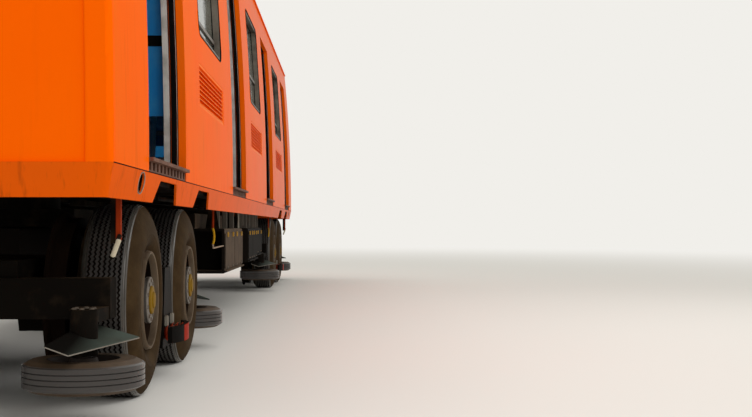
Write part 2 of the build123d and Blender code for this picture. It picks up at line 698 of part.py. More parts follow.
# Body end: a plate that fills the end of the tube, sunk between two corner posts.
def end_wall():
    low = SOLE_Z
    middle = (low + CANT_TOP_Z) / 2
    side = [(wall_y(0, low), low), (wall_y(0, middle), middle), (wall_y(0, CANT_TOP_Z), CANT_TOP_Z)]
    left = ThreePointArc(*side)
    right = ThreePointArc(*[(-y, z) for y, z in side])
    foot = Line(side[0], (-side[0][0], low))
    edge_y = side[2][0]
    roof_line = roof_edge(0)[0]
    face = make_face([left, right, foot] + roof_line)
    plate = extrude(Plane.YZ * face, END_THICK).moved(Location((INNER_END, 0, 0)))
    front = plate.edges().filter_by(lambda edge: edge.center().X > HALF_BODY - 1)
    plate = fillet(front.filter_by(lambda edge: abs(edge.center().Y) > edge_y - 1), END_CORNER)
    inner = [(wall_y(POST_WIDTH, z), z) for z in (low - 1, middle, POST_TOP_Z)]
    other = [(-y, z) for y, z in inner]
    sunk = make_face([ThreePointArc(*inner), ThreePointArc(*other), Line(inner[0], other[0]),
                      Line(inner[2], other[2])])
    plate -= extrude(Plane.YZ * sunk, END_THICK).moved(Location((HALF_BODY - POST_PROUD, 0, 0)))
    front = plate.edges().filter_by(lambda edge: edge.center().X > HALF_BODY - 1)
    posts = front.filter_by(lambda edge: POST_WIDTH < HALF_WIDTH - abs(edge.center().Y) < 2 * POST_WIDTH)
    plate = fillet(posts.filter_by(lambda edge: edge.length > POST_TOP_Z / 2), POST_ROUND)
    half = END_DOOR_WIDTH / 2
    plate -= end_opening((-half, half), (FLOOR_TOP_Z, END_DOOR_TOP_Z), END_DOOR_RADIUS)
    for sign in (-1, 1):
        plate -= end_window(sign, 0)
    for bracket in hinge_brackets():
        plate += bracket
    return plate


def end_panes():
    made = []
    start = INNER_END + END_GLASS_SET_IN
    for sign in (-1, 1):
        pane = block((start, start + END_GLASS_THICK), (-HALF_WIDTH, HALF_WIDTH),
                     (WINDOW_BOTTOM_Z, WINDOW_TOP_Z))
        made.append(pane & end_window(sign, 0))
    return made


# Fixed half of each door hinge: two knuckles with the pin, on the inner face of the wall.
def hinge_brackets():
    made = []
    for z in HINGE_Z:
        bracket = Pos(HINGE_X, HINGE_Y, z) * Cylinder(HINGE_PIN_RADIUS, 4 * HINGE_HALF)
        for way in (-1, 1):
            ends = sorted((z + way * (HINGE_HALF + RUNNING_GAP), z + way * 2 * HINGE_HALF))
            bracket += Pos(HINGE_X, HINGE_Y, sum(ends) / 2) * Cylinder(HINGE_RADIUS, ends[1] - ends[0])
            bracket += block((HINGE_X, INNER_END), (HINGE_Y - HINGE_RADIUS / 3, HINGE_Y + HINGE_RADIUS),
                             ends)
        made.append(bracket)
    return made


# End door: a hinged leaf in the end wall, with its window cut.
def end_door():
    gap = END_DOOR_GAP
    half = END_DOOR_WIDTH / 2 - gap
    x = (INNER_END + END_DOOR_SET_IN, INNER_END + END_DOOR_SET_IN + END_DOOR_THICK)
    leaf = end_opening((-half, half), (FLOOR_TOP_Z + gap, END_DOOR_TOP_Z - gap), END_DOOR_RADIUS - gap)
    leaf &= block(x, (-half, half), (FLOOR_TOP_Z, END_DOOR_TOP_Z))
    glass_half = half - END_DOOR_STILE
    leaf -= end_opening((-glass_half, glass_half), (WINDOW_BOTTOM_Z, END_DOOR_TOP_Z - gap - END_DOOR_STILE),
                        END_DOOR_GLASS_RADIUS)
    for z in HINGE_Z:
        height = (z - HINGE_HALF, z + HINGE_HALF)
        strap = HINGE_RADIUS / 2
        leaf += block((HINGE_X - strap, x[0]), (half - HINGE_STRAP[1], half - HINGE_STRAP[0]), height)
        leaf += block((HINGE_X - strap, HINGE_X + strap), (half - HINGE_STRAP[1], HINGE_Y), height)
        leaf += Pos(HINGE_X, HINGE_Y, z) * Cylinder(HINGE_RADIUS, 2 * HINGE_HALF)
        leaf -= Pos(HINGE_X, HINGE_Y, z) * Cylinder(HINGE_PIN_RADIUS + RUNNING_GAP, 4 * HINGE_HALF)
    return leaf


def draw_pocket():
    """Cheeks, shelves and pin of the pocket that holds the coupler at the +X end."""
    x = (COUPLER_PIVOT_X - POCKET_BACK, COUPLER_PIVOT_X + POCKET_FRONT)
    inner = POCKET_HALF - POCKET_CHEEK
    low = COUPLER_Z - POCKET_SHELF_RISE - POCKET_SHELF
    high = COUPLER_Z + POCKET_SHELF_RISE
    made = [block(x, (-CENTRE_BEAM_INNER_Y, CENTRE_BEAM_INNER_Y), BEAM_Z)]
    for sign in (-1, 1):
        made.append(block(x, (sign * inner, sign * POCKET_HALF), (low, UNDERFRAME_BOTTOM_Z)))
    for shelf in (low, high):
        made.append(block(x, (-inner, inner), (shelf, shelf + POCKET_SHELF)))
    made.append(Pos(COUPLER_PIVOT_X, 0, COUPLER_Z) * Cylinder(COUPLER_PIN_RADIUS, 2 * POCKET_SHELF_RISE))
    return made


# Underframe: side beams and centre beams between two end beams, with cross members between them.
def underframe():
    reach = INNER_END - END_BEAM_WIDTH
    made = both_ends([block((reach, INNER_END), (-BEAM_OUTER_Y, BEAM_OUTER_Y), BEAM_Z)])
    made += both_sides([block((-reach, reach), (SILL_BEAM_INNER_Y, BEAM_OUTER_Y), BEAM_Z),
                        block((-reach, reach), (CENTRE_BEAM_INNER_Y, CENTRE_BEAM_Y), BEAM_Z)])
    crossings = [(x, CROSS_BEAM_LENGTH / 2) for place in CROSS_BEAM_X for x in sorted({-place, place})]
    crossings += [(-BOGIE_X, BOLSTER_LENGTH / 2), (BOGIE_X, BOLSTER_LENGTH / 2)]
    for x, half in crossings:
        span = (x - half, x + half)
        made.append(block(span, (-CENTRE_BEAM_INNER_Y, CENTRE_BEAM_INNER_Y), BEAM_Z))
        made += both_sides([block(span, (CENTRE_BEAM_Y, SILL_BEAM_INNER_Y), BEAM_Z)])
    ring_height = UNDERFRAME_BOTTOM_Z - RING_TOP_Z
    made += both_ends([Pos(BOGIE_X, 0, RING_TOP_Z + ring_height / 2) * Cylinder(RING_RADIUS, ring_height)])
    rail_z = (EQUIPMENT_RAIL_BOTTOM_Z, UNDERFRAME_BOTTOM_Z)
    x = (-EQUIPMENT_REACH, EQUIPMENT_REACH)
    made += both_sides([block(x, EQUIPMENT_RAIL_Y, rail_z)])
    made.append(block(x, (-MIDDLE_RAIL_HALF, MIDDLE_RAIL_HALF), rail_z))
    pad_y = (BEAM_OUTER_Y - JACK_PAD_SIZE, BEAM_OUTER_Y)
    for sign in (-1, 1):
        pad = block((sign * JACK_PAD_X - JACK_PAD_SIZE / 2, sign * JACK_PAD_X + JACK_PAD_SIZE / 2), pad_y,
                    (JACK_PAD_BOTTOM_Z, UNDERFRAME_BOTTOM_Z))
        made += both_sides([pad])
    return made + both_ends(draw_pocket())


def floor():
    half = HALF_WIDTH - WALL
    slab = block((-INNER_END, INNER_END), (-half, half), (FLOOR_BOTTOM_Z, FLOOR_TOP_Z))
    strip = wall_y(SKIN + POCKET, FLOOR_TOP_Z)
    for span in panel_spans(0):
        for sign in (-1, 1):
            slab += block(span, (sign * half, sign * strip), (FLOOR_BOTTOM_Z, FLOOR_TOP_Z))
    return slab


# Sliding door leaf, curved like the wall, with its window and two hangers that wrap the rail.
def door_leaf(edge_x, away):
    """A leaf whose leading edge is at edge_x and which reaches away from it."""
    x = sorted((edge_x, edge_x + away * LEAF_WIDTH))
    leaf = wall_strip(x, (LEAF_BOTTOM_Z, LEAF_TOP_Z), LEAF_DEPTH, LEAF_DEPTH + LEAF_THICK)
    hole_x = sorted((edge_x + away * LEAF_FRAME, edge_x + away * (LEAF_WIDTH - LEAF_FRAME)))
    leaf -= rounded_hole(hole_x, (LEAF_GLASS_BOTTOM_Z, LEAF_GLASS_TOP_Z), LEAF_GLASS_RADIUS)
    rail_y = wall_y(LEAF_DEPTH + LEAF_THICK / 2, LEAF_TOP_Z)
    half = LEAF_THICK / 2 - 1
    side = RAIL_WIDTH / 2 + RUNNING_GAP
    for inset in (HANGER_INSET, LEAF_WIDTH - HANGER_INSET):
        middle = edge_x + away * inset
        span = (middle - HANGER_LENGTH / 2, middle + HANGER_LENGTH / 2)
        hanger = block(span, (rail_y - half, rail_y + half), (LEAF_TOP_Z - 2, HANGER_TOP_Z))
        hanger -= block((span[0] - 1, span[1] + 1), (rail_y - side, rail_y + side),
                        (RAIL_BOTTOM_Z - RUNNING_GAP, RAIL_BOTTOM_Z + RAIL_HEIGHT + RUNNING_GAP))
        leaf += hanger
    return leaf


def door_rails():
    made = []
    rail_y = wall_y(LEAF_DEPTH + LEAF_THICK / 2, LEAF_TOP_Z)
    board_y = wall_y(SKIN, RAIL_BOTTOM_Z + RAIL_HEIGHT) - FIT_GAP
    z = (RAIL_BOTTOM_Z, RAIL_BOTTOM_Z + RAIL_HEIGHT)
    for centre in DOOR_CENTRES:
        rail = block((centre - RAIL_REACH, centre + RAIL_REACH),
                     (rail_y - RAIL_WIDTH / 2, rail_y + RAIL_WIDTH / 2), z)
        for offset in (-RAIL_REACH + BRACKET_LENGTH / 2, 0, RAIL_REACH - BRACKET_LENGTH / 2):
            x = centre + offset
            rail += block((x - BRACKET_LENGTH / 2, x + BRACKET_LENGTH / 2), (rail_y, board_y), z)
        made.append(rail)
    return made


def seat_places():
    """Back edge of each seat along X, the way that the seat faces, and its width."""
    places = [(x, way, SEAT_WIDTH) for x, way in window_seats()]
    end_x = INNER_END - END_SEAT_GAP
    return places + [(-end_x, 1, END_SEAT_WIDTH), (end_x, -1, END_SEAT_WIDTH)]


def seat_edge(width):
    """The outer and inner edges of a seat across the car."""
    outer = wall_y(WALL, SEAT_OUTER_Z) - SEAT_WALL_GAP
    return outer, outer - width


# Seats: moulded two-place shells in facing pairs.
def seats():
    made = []
    for back_x, way, width in seat_places():
        front = SEAT_LEAN + SEAT_DEPTH
        shell = [(0, SEAT_OUTER_Z), (SEAT_SHELL, SEAT_OUTER_Z), (SEAT_SHELL + SEAT_LEAN, SEAT_TOP_Z),
                 (front, SEAT_TOP_Z + SEAT_ROUND), (front, SEAT_TOP_Z - SEAT_SHELL),
                 (SEAT_LEAN, SEAT_TOP_Z - SEAT_SHELL)]
        solid = side_profile([(back_x + way * x, z) for x, z in shell], seat_edge(width))
        made.append(fillet(solid.edges().filter_by(Axis.Y), SEAT_ROUND))
    return made


def pedestals():
    made = []
    for back_x, way, width in seat_places():
        top = SEAT_TOP_Z - SEAT_SHELL
        outline = [(PEDESTAL_TOP[0], top), (PEDESTAL_TOP[1], top), (PEDESTAL_FOOT[1], FLOOR_TOP_Z),
                   (PEDESTAL_FOOT[0], FLOOR_TOP_Z)]
        points = [(back_x + way * x, z) for x, z in outline]
        for edge, inward in zip(seat_edge(width), (-1, 1)):
            y = edge + inward * PEDESTAL_INSET
            made.append(side_profile(points, (y, y + inward * PEDESTAL_THICK)))
    return made


# Grab poles at the inner edge of each windbreak panel, from the floor to the ceiling.
def poles():
    made = []
    height = CEILING_Z - FLOOR_TOP_Z
    y = WINDBREAK_INNER_Y - POLE_RADIUS - FIT_GAP
    for back_x, way in window_seats():
        x = back_x - way * (WINDBREAK_GAP + WINDBREAK_THICK / 2)
        made.append(Pos(x, y, FLOOR_TOP_Z + height / 2) * Cylinder(POLE_RADIUS, height))
    return made


def equipment_box(x, y, z, doors):
    """A box with raised doors and a lip on its outer side."""
    outer = max(y, key=abs)
    way = 1 if outer > 0 else -1
    box = fillet(block(x, y, z).edges().filter_by(Axis.X), BOX_ROUND)
    pitch = (x[1] - x[0]) / doors
    root = outer - way * BOX_ROUND
    door_z = (z[0] + 2 * BOX_DOOR_MARGIN, z[1] - 2 * BOX_DOOR_MARGIN)
    for number in range(doors):
        start = x[0] + number * pitch + BOX_DOOR_MARGIN / 2
        door_x = (start, start + pitch - BOX_DOOR_MARGIN)
        box += block(door_x, (root, outer + way * BOX_DOOR_PROUD), door_z)
    lip = (z[0] + BOX_ROUND, z[0] + BOX_ROUND + BOX_LIP_THICK)
    return box + block(x, (root, outer + way * BOX_LIP_OUT), lip)


# Equipment boxes; the first is an open rack at its outer end.
def equipment():
    made = [equipment_box(*row) for row in EQUIPMENT]
    x, y, z, doors = EQUIPMENT[0]
    made[0] -= block((x[0] - 1, x[0] + RACK_DEPTH), (y[0] + RACK_WALL, y[1] - RACK_WALL),
                     (z[0] + RACK_WALL, z[1] - RACK_WALL))
    return made


def equipment_hangers():
    made = []
    for x, y, z, doors in EQUIPMENT:
        outer = max(y, key=abs)
        way = 1 if outer < 0 else -1
        points = [(outer + way * BOX_HANGER_FOOT[0], z[1]), (outer + way * BOX_HANGER_FOOT[1], z[1]),
                  (outer + way * BOX_HANGER_HEAD[1], EQUIPMENT_RAIL_BOTTOM_Z),
                  (outer + way * BOX_HANGER_HEAD[0], EQUIPMENT_RAIL_BOTTOM_Z)]
        for place in (x[0] + BOX_HANGER_INSET, x[1] - BOX_HANGER_INSET):
            made.append(cross_profile(points, (place, place + BOX_HANGER_THICK)))
    return made


def tanks():
    made = []
    for x, y, z in TANK_CENTRES:
        tank = Pos(x, y, z) * Rot(0, 90, 0) * Cylinder(TANK_RADIUS, TANK_LENGTH)
        tank = fillet(tank.edges(), TANK_DISH)
        for offset in (-TANK_LENGTH / 3, TANK_LENGTH / 3):
            tank += block((x + offset - STRAP_HALF_LENGTH, x + offset + STRAP_HALF_LENGTH),
                          (y - STRAP_HALF_WIDTH, y + STRAP_HALF_WIDTH),
                          (z + TANK_RADIUS - STRAP_BITE, EQUIPMENT_RAIL_BOTTOM_Z))
        made.append(tank)
    return made


# Corner fitting under the left side at the +X end: plate, angle and the handle on the angle's outer face.
def corner_fitting():
    top = UNDERFRAME_BOTTOM_Z
    fitting = block((-FITTING_PLATE_X, FITTING_PLATE_X), FITTING_PLATE_Y, (FITTING_PLATE_BOTTOM_Z, top))
    fitting += block((-FITTING_ANGLE_X, FITTING_ANGLE_X), FITTING_ANGLE_Y, (FITTING_ANGLE_BOTTOM_Z, top))
    length = sqrt(HANDLE_SWING ** 2 + HANDLE_DROP ** 2)
    tilt = 90 - degrees(atan(HANDLE_SWING / HANDLE_DROP))
    place = Pos(HANDLE_Y - HANDLE_SWING / 2, SPINDLE_Z - HANDLE_DROP / 2)
    handle = extrude(Plane.YZ * place * SlotCenterToCenter(length, HANDLE_WIDTH, tilt), HANDLE_THICK)
    return Pos(FITTING_X, 0, 0) * (fitting + handle.moved(Location((FITTING_ANGLE_X, 0, 0))))


def along_x(x, y, z, radius, length):
    """A cylinder along X that starts at x."""
    return Pos(x + length / 2, y, z) * Rot(0, 90, 0) * Cylinder(radius, length)


# Coupler: a drawbar with an eye on the pocket's pin, and a square head with its pin and hole.
def coupler():
    face = COUPLER_FACE_X
    start = COUPLER_PIVOT_X
    back = face - COUPLER_HEAD_LENGTH
    shape = along_x(start, 0, COUPLER_Z, COUPLER_BAR_RADIUS, back - start)
    shape += Pos(start, 0, COUPLER_Z) * Cylinder(COUPLER_EYE_RADIUS, COUPLER_EYE_HEIGHT)
    head = block((back, face), (-COUPLER_HEAD_HALF, COUPLER_HEAD_HALF),
                 (COUPLER_Z - COUPLER_HEAD_RISE, COUPLER_Z + COUPLER_HEAD_RISE))
    shape += fillet(head.edges().filter_by(Axis.X), COUPLER_HEAD_ROUND)
    narrow = Rectangle(2 * COUPLER_BAR_RADIUS, 2 * COUPLER_BAR_RADIUS)
    wide = Rectangle(2 * (COUPLER_HEAD_HALF - COUPLER_HEAD_ROUND),
                     2 * (COUPLER_HEAD_RISE - COUPLER_HEAD_ROUND))
    across = Plane(origin=(back, 0, COUPLER_Z), x_dir=(0, 1, 0), z_dir=(1, 0, 0))
    shape += loft([across.offset(-COUPLER_THROAT) * narrow, across * wide])
    pin = along_x(face - 1, -CENTRING_Y, COUPLER_Z, CENTRING_PIN_RADIUS, CENTRING_PIN_LENGTH + 1)
    shape += chamfer(pin.faces().sort_by(Axis.X)[-1].edges(), CENTRING_PIN_TIP)
    shape -= Pos(start, 0, COUPLER_Z) * Cylinder(COUPLER_PIN_RADIUS + RUNNING_GAP, 2 * COUPLER_EYE_HEIGHT)
    bore_start = face - CENTRING_BORE_LENGTH
    return shape - along_x(bore_start, CENTRING_Y, COUPLER_Z, CENTRING_BORE_RADIUS, 2 * CENTRING_BORE_LENGTH)


# Bogie frame: two side beams with axle boxes, cross tubes, and an end beam with arms each end.
def side_beam(sign):
    top = SIDE_BEAM_TOP_Z
    right = [(SIDE_BEAM_REACH, top), (SIDE_BEAM_REACH, SIDE_BEAM_END_Z)]
    axle = WHEEL_BASE / 2
    right += [(axle + AXLE_BOX_TOP_LENGTH / 2, SIDE_BEAM_MIDDLE_Z),
              (axle + AXLE_BOX_LENGTH / 2, AXLE_BOX_BOTTOM_Z),
              (axle - AXLE_BOX_LENGTH / 2, AXLE_BOX_BOTTOM_Z),
              (axle - AXLE_BOX_TOP_LENGTH / 2, SIDE_BEAM_MIDDLE_Z)]
    left = [(-x, z) for x, z in reversed(right)]
    half = SIDE_BEAM_WIDTH / 2
    return side_profile(right + left, (sign * SIDE_BEAM_Y - half, sign * SIDE_BEAM_Y + half))


def guide_arm(x, y, root):
    """Arm from the end beam out to one guide wheel, with its boss."""
    plan = Polyline((root, y - GUIDE_ARM_ROOT), (root, y + GUIDE_ARM_ROOT), (x, y + GUIDE_BOSS_RADIUS),
                    (x, y - GUIDE_BOSS_RADIUS), close=True)
    arm = extrude(Pos(0, 0, END_BEAM_BOTTOM_Z) * make_face(plan), GUIDE_ARM_TOP_Z - END_BEAM_BOTTOM_Z)
    height = GUIDE_ARM_TOP_Z - GUIDE_BOSS_BOTTOM_Z
    return arm + Pos(x, y, GUIDE_BOSS_BOTTOM_Z + height / 2) * Cylinder(GUIDE_BOSS_RADIUS, height)


def bogie_frame():
    frame = side_beam(1) + side_beam(-1)
    for x in (-TRANSOM_X, TRANSOM_X):
        frame += Pos(x, 0, TRANSOM_Z) * Rot(90, 0, 0) * Cylinder(TRANSOM_RADIUS, 2 * SIDE_BEAM_Y)
    for sign_x in (-1, 1):
        x = (sign_x * END_BEAM_X - END_BEAM_LENGTH / 2, sign_x * END_BEAM_X + END_BEAM_LENGTH / 2)
        frame += block(x, (-END_BEAM_HALF, END_BEAM_HALF), (END_BEAM_BOTTOM_Z, END_BEAM_TOP_Z))
        for y in (-GUIDE_Y, GUIDE_Y):
            frame += guide_arm(sign_x * GUIDE_X, y, sign_x * END_BEAM_X)
            bore = Cylinder(GUIDE_PIN_RADIUS + RUNNING_GAP, 2 * SIDE_BEAM_TOP_Z)
            frame -= Pos(sign_x * GUIDE_X, y, 0) * bore
    for axle_x in (-WHEEL_BASE / 2, WHEEL_BASE / 2):
        frame -= Pos(axle_x, 0, AXLE_Z) * Rot(90, 0, 0) * Cylinder(JOURNAL_RADIUS + RUNNING_GAP, BODY_WIDTH)
    return frame


# Rubber springs in layers, one each side of every cross tube.
def layer_spring():
    height = BOLSTER_BOTTOM_Z - SIDE_BEAM_TOP_Z
    layer = height / SPRING_LAYERS
    points = [(0, 0)]
    for number in range(SPRING_LAYERS):
        low = number * layer
        points += [(SPRING_RADIUS, low), (SPRING_RADIUS, low + layer / 4), (SPRING_WAIST, low + layer / 2),
                   (SPRING_RADIUS, low + 3 * layer / 4)]
    points += [(SPRING_RADIUS, height), (0, height)]
    return revolve(Plane.XZ * make_face(Polyline(*points, close=True)), Axis.Z)


# Bolster on the springs, with the lower half of the slewing ring.
def bogie_bolster():
    reach = SIDE_BEAM_Y + BOLSTER_OVERHANG
    ring_bottom = RING_TOP_Z - RING_HEIGHT
    height = RING_HEIGHT - RUNNING_GAP
    shape = block((-BOLSTER_HALF, BOLSTER_HALF), (-reach, reach), (BOLSTER_BOTTOM_Z, ring_bottom))
    shape += Pos(0, 0, ring_bottom + height / 2) * Cylinder(RING_RADIUS, height)
    for x in (-SPRING_X, SPRING_X):
        for sign in (-1, 1):
            shape += Pos(x, sign * SIDE_BEAM_Y, SIDE_BEAM_TOP_Z) * layer_spring()
    return shape


# Collector gear between the tyres: arm and plate, ribbed insulators, and a shoe with curved toes.
def collector_gear():
    outer_beam = SIDE_BEAM_Y + SIDE_BEAM_WIDTH / 2
    gear = block((-COLLECTOR_ARM_HALF, COLLECTOR_ARM_HALF), (outer_beam, COLLECTOR_PLATE_Y[0]),
                 COLLECTOR_ARM_Z)
    top = COLLECTOR_ARM_Z[1]
    gear += side_profile([(-COLLECTOR_PLATE_TOP, top), (COLLECTOR_PLATE_TOP, top),
                          (COLLECTOR_PLATE_FOOT, COLLECTOR_PLATE_BOTTOM_Z),
                          (-COLLECTOR_PLATE_FOOT, COLLECTOR_PLATE_BOTTOM_Z)], COLLECTOR_PLATE_Y)
    inner = SHOE_OUT_Y - SHOE_THICK
    length = inner - COLLECTOR_PLATE_Y[1]
    rib = length / INSULATOR_RIBS
    points = [(0, 0)]
    for number in range(INSULATOR_RIBS):
        low = number * rib
        points += [(INSULATOR_WAIST, low), (INSULATOR_RADIUS, low + rib / 3),
                   (INSULATOR_RADIUS, low + 2 * rib / 3)]
    points += [(INSULATOR_WAIST, length), (0, length)]
    insulator = revolve(Plane.XY * make_face(Polyline(*points, close=True)), Axis.Y)
    outer_arc = ThreePointArc((-SHOE_REACH, SHOE_TOE_Y), (0, SHOE_OUT_Y), (SHOE_REACH, SHOE_TOE_Y))
    toe_in = SHOE_TOE_Y - SHOE_THICK
    inner_arc = ThreePointArc((-SHOE_REACH, toe_in), (0, inner), (SHOE_REACH, toe_in))
    toes = [Line((x, SHOE_TOE_Y), (x, toe_in)) for x in (-SHOE_REACH, SHOE_REACH)]
    gear += extrude(Pos(0, 0, SHOE_Z[0]) * make_face([outer_arc, inner_arc] + toes), SHOE_Z[1] - SHOE_Z[0])
    for x in (-INSULATOR_X, INSULATOR_X):
        gear += Pos(x, COLLECTOR_PLATE_Y[1], INSULATOR_Z) * insulator
    return gear


# Guard sheets that slope over the guide wheels, cut out round their bosses.
def guards():
    corners = [(x, y, GUARD_Z + GUARD_SLOPE_X * x + GUARD_SLOPE_Y * y) for x, y in GUARD_CORNERS]
    face = make_face(Polyline(*corners, close=True))
    sheet = extrude(face, amount=GUARD_THICK, dir=(0, 0, 1))
    sheet -= Pos(0, 0, GUARD_Z) * Cylinder(GUIDE_BOSS_RADIUS + FIT_GAP, GUARD_Z)
    made = []
    for sign_x in (-1, 1):
        for sign_y in (-1, 1):
            guard = sheet if sign_x < 0 else mirror(sheet, about=Plane.YZ)
            guard = guard if sign_y > 0 else mirror(guard, about=Plane.XZ)
            made.append(Pos(sign_x * GUIDE_X, sign_y * GUIDE_Y, 0) * guard)
    return made


# Wheelset: axle, hubs, discs with rims and the steel safety wheels, turned in one piece.
def wheelset():
    outer = TYRE_OUTER_Y
    inner = TYRE_OUTER_Y - TYRE_WIDTH
    safety_in = SAFETY_OUTER_Y - SAFETY_WIDTH
    rim_in = RIM_RADIUS - RIM_DEPTH
    disc = outer - DISC_SET_IN
    web = SAFETY_OUTER_Y - SAFETY_DISH
    tread_in = SAFETY_RADIUS - SAFETY_RIM
    flange = outer - HUB_FLANGE_SET_IN
    hub = [(0, outer - HUB_CAP_SET_IN), (HUB_CAP_RADIUS, outer - HUB_CAP_SET_IN),
           (HUB_CAP_RADIUS + HUB_EDGE, outer - HUB_DRUM_SET_IN), (HUB_DRUM_RADIUS, outer - HUB_DRUM_SET_IN),
           (HUB_DRUM_RADIUS + HUB_EDGE, flange), (HUB_FLANGE_RADIUS - HUB_EDGE, flange),
           (HUB_FLANGE_RADIUS, flange - HUB_EDGE), (HUB_FLANGE_RADIUS, flange - HUB_FLANGE_THICK),
           (DISC_RADIUS, disc)]
    rim = [(rim_in, disc), (rim_in, outer - RIM_DEPTH), (RIM_RADIUS, outer - RIM_EDGE),
           (RIM_RADIUS, inner + RIM_EDGE), (rim_in, inner + RIM_DEPTH), (rim_in, disc - WHEEL_WEB)]
    waist = [(DISC_RADIUS, disc - WHEEL_WEB), (HUB_WAIST_RADIUS, outer - HUB_WAIST_SET_IN),
             (HUB_WAIST_RADIUS, SAFETY_OUTER_Y - WHEEL_WEB)]
    safety = [(tread_in, web), (tread_in, SAFETY_OUTER_Y), (SAFETY_RADIUS, SAFETY_OUTER_Y),
              (SAFETY_RADIUS, safety_in + FLANGE_WIDTH), (FLANGE_RADIUS, safety_in + FLANGE_WIDTH / 2),
              (FLANGE_RADIUS, safety_in), (tread_in, safety_in), (tread_in, web - WHEEL_WEB),
              (HUB_WAIST_RADIUS, web - WHEEL_WEB)]
    collar = safety_in - AXLE_COLLAR_LENGTH
    axle = [(AXLE_COLLAR_RADIUS, collar), (JOURNAL_RADIUS, collar), (JOURNAL_RADIUS, 0), (0, 0)]
    outline = Polyline(*(hub + rim + waist + safety + axle), close=True)
    half = revolve(Plane.XY * make_face(outline), Axis.Y)
    return half + mirror(half, about=Plane.XZ)


def road_tyre():
    """Left tyre of a wheelset, with rounded shoulders and bulged sides."""
    outer = TYRE_OUTER_Y
    inner = TYRE_OUTER_Y - TYRE_WIDTH
    top = TYRE_RADIUS
    low = TYRE_RADIUS - TYRE_SHOULDER
    bulge = TYRE_BULGE_RADIUS
    tread = Line((top, inner + TREAD_SHOULDER), (top, outer - TREAD_SHOULDER))
    shoulder_out = ThreePointArc((top, outer - TREAD_SHOULDER), (top - 14, outer - 15), (low, outer - 4))
    wall_out = ThreePointArc((low, outer - 4), (bulge, outer), (RIM_RADIUS, outer - BEAD_INSET))
    bead = Line((RIM_RADIUS, outer - BEAD_INSET), (RIM_RADIUS, inner + BEAD_INSET))
    wall_in = ThreePointArc((RIM_RADIUS, inner + BEAD_INSET), (bulge, inner), (low, inner + 4))
    shoulder_in = ThreePointArc((low, inner + 4), (top - 14, inner + 15), (top, inner + TREAD_SHOULDER))
    face = make_face([tread, shoulder_out, wall_out, bead, wall_in, shoulder_in])
    return revolve(Plane.XY * face, Axis.Y)


# Guide wheel: a small grooved tyre on a dished rim, turned with its upright pin.
def guide_wheel():
    low = GUIDE_BOTTOM_Z
    high = GUIDE_BOTTOM_Z + GUIDE_HEIGHT
    edge = GUIDE_SHOULDER
    radius = GUIDE_RADIUS
    rim_in = GUIDE_BEAD_RADIUS - GUIDE_HUB_EDGE
    hub_out = GUIDE_HUB_RADIUS + GUIDE_HUB_EDGE
    points = [(0, low + GUIDE_DISH - GUIDE_HUB_EDGE), (GUIDE_HUB_RADIUS, low + GUIDE_DISH - GUIDE_HUB_EDGE),
              (hub_out, low + GUIDE_DISH), (rim_in, low + GUIDE_DISH), (GUIDE_BEAD_RADIUS, low),
              (radius - GUIDE_SIDEWALL, low), (radius, low + edge)]
    pitch = (GUIDE_HEIGHT - 2 * edge) / GUIDE_GROOVES
    half = GUIDE_GROOVE_DEPTH / 2
    for number in range(1, GUIDE_GROOVES):
        z = low + edge + number * pitch
        points += [(radius, z - half), (radius - GUIDE_GROOVE_DEPTH, z), (radius, z + half)]
    points += [(radius, high - edge), (radius - GUIDE_SIDEWALL, high), (GUIDE_BEAD_RADIUS, high),
               (rim_in, high - GUIDE_DISH), (hub_out, high - GUIDE_DISH),
               (GUIDE_HUB_RADIUS, high + GUIDE_HUB_RISE), (GUIDE_PIN_RADIUS, high + GUIDE_HUB_RISE),
               (GUIDE_PIN_RADIUS, GUIDE_PIN_TOP_Z), (0, GUIDE_PIN_TOP_Z)]
    return revolve(Plane.XZ * make_face(Polyline(*points, close=True)), Axis.Z)


panels = side_panels()
save("side_panels_left", panels)
save("side_panels_right", mirrored(panels))
save("grilles", both_sides(grilles()))
save("letterboards", both_sides([letterboard()]))
save("skirts", skirts())
save("door_sills", both_sides(sills()))
save("roof", roof())
save("linings", both_sides(linings()))
save("ceiling", ceiling())
save("window_frames", both_sides(window_frames()))
save("window_glass", both_sides(window_glass()) + both_ends(end_panes()))
save("end_walls", both_ends([end_wall()]))
save("underframe", underframe())
save("floor", floor())
save("door_rails", both_sides(door_rails()))
save("seats", both_sides(seats()))
save("seat_legs_and_poles", both_sides(pedestals() + poles()))
save("equipment_boxes", equipment())
save("air_tanks", tanks())
save("underbody_brackets", equipment_hangers() + both_ends(both_sides([corner_fitting()])))

for name, turn in (("a", 180), ("b", 0)):
    save("end_door_" + name, end_door().rotate(Axis.Z, turn))
    save("coupler_" + name, coupler().rotate(Axis.Z, turn))

half_door = DOOR_CLEAR / 2 + SKIN_SETBACK
for number, centre in enumerate(DOOR_CENTRES, start=1):
    for letter, away in (("a", -1), ("b", 1)):
        leaf = door_leaf(centre + away * half_door, away)
        save("leaf_left_%d%s" % (number, letter), leaf)
        save("leaf_right_%d%s" % (number, letter), mirrored([leaf]))

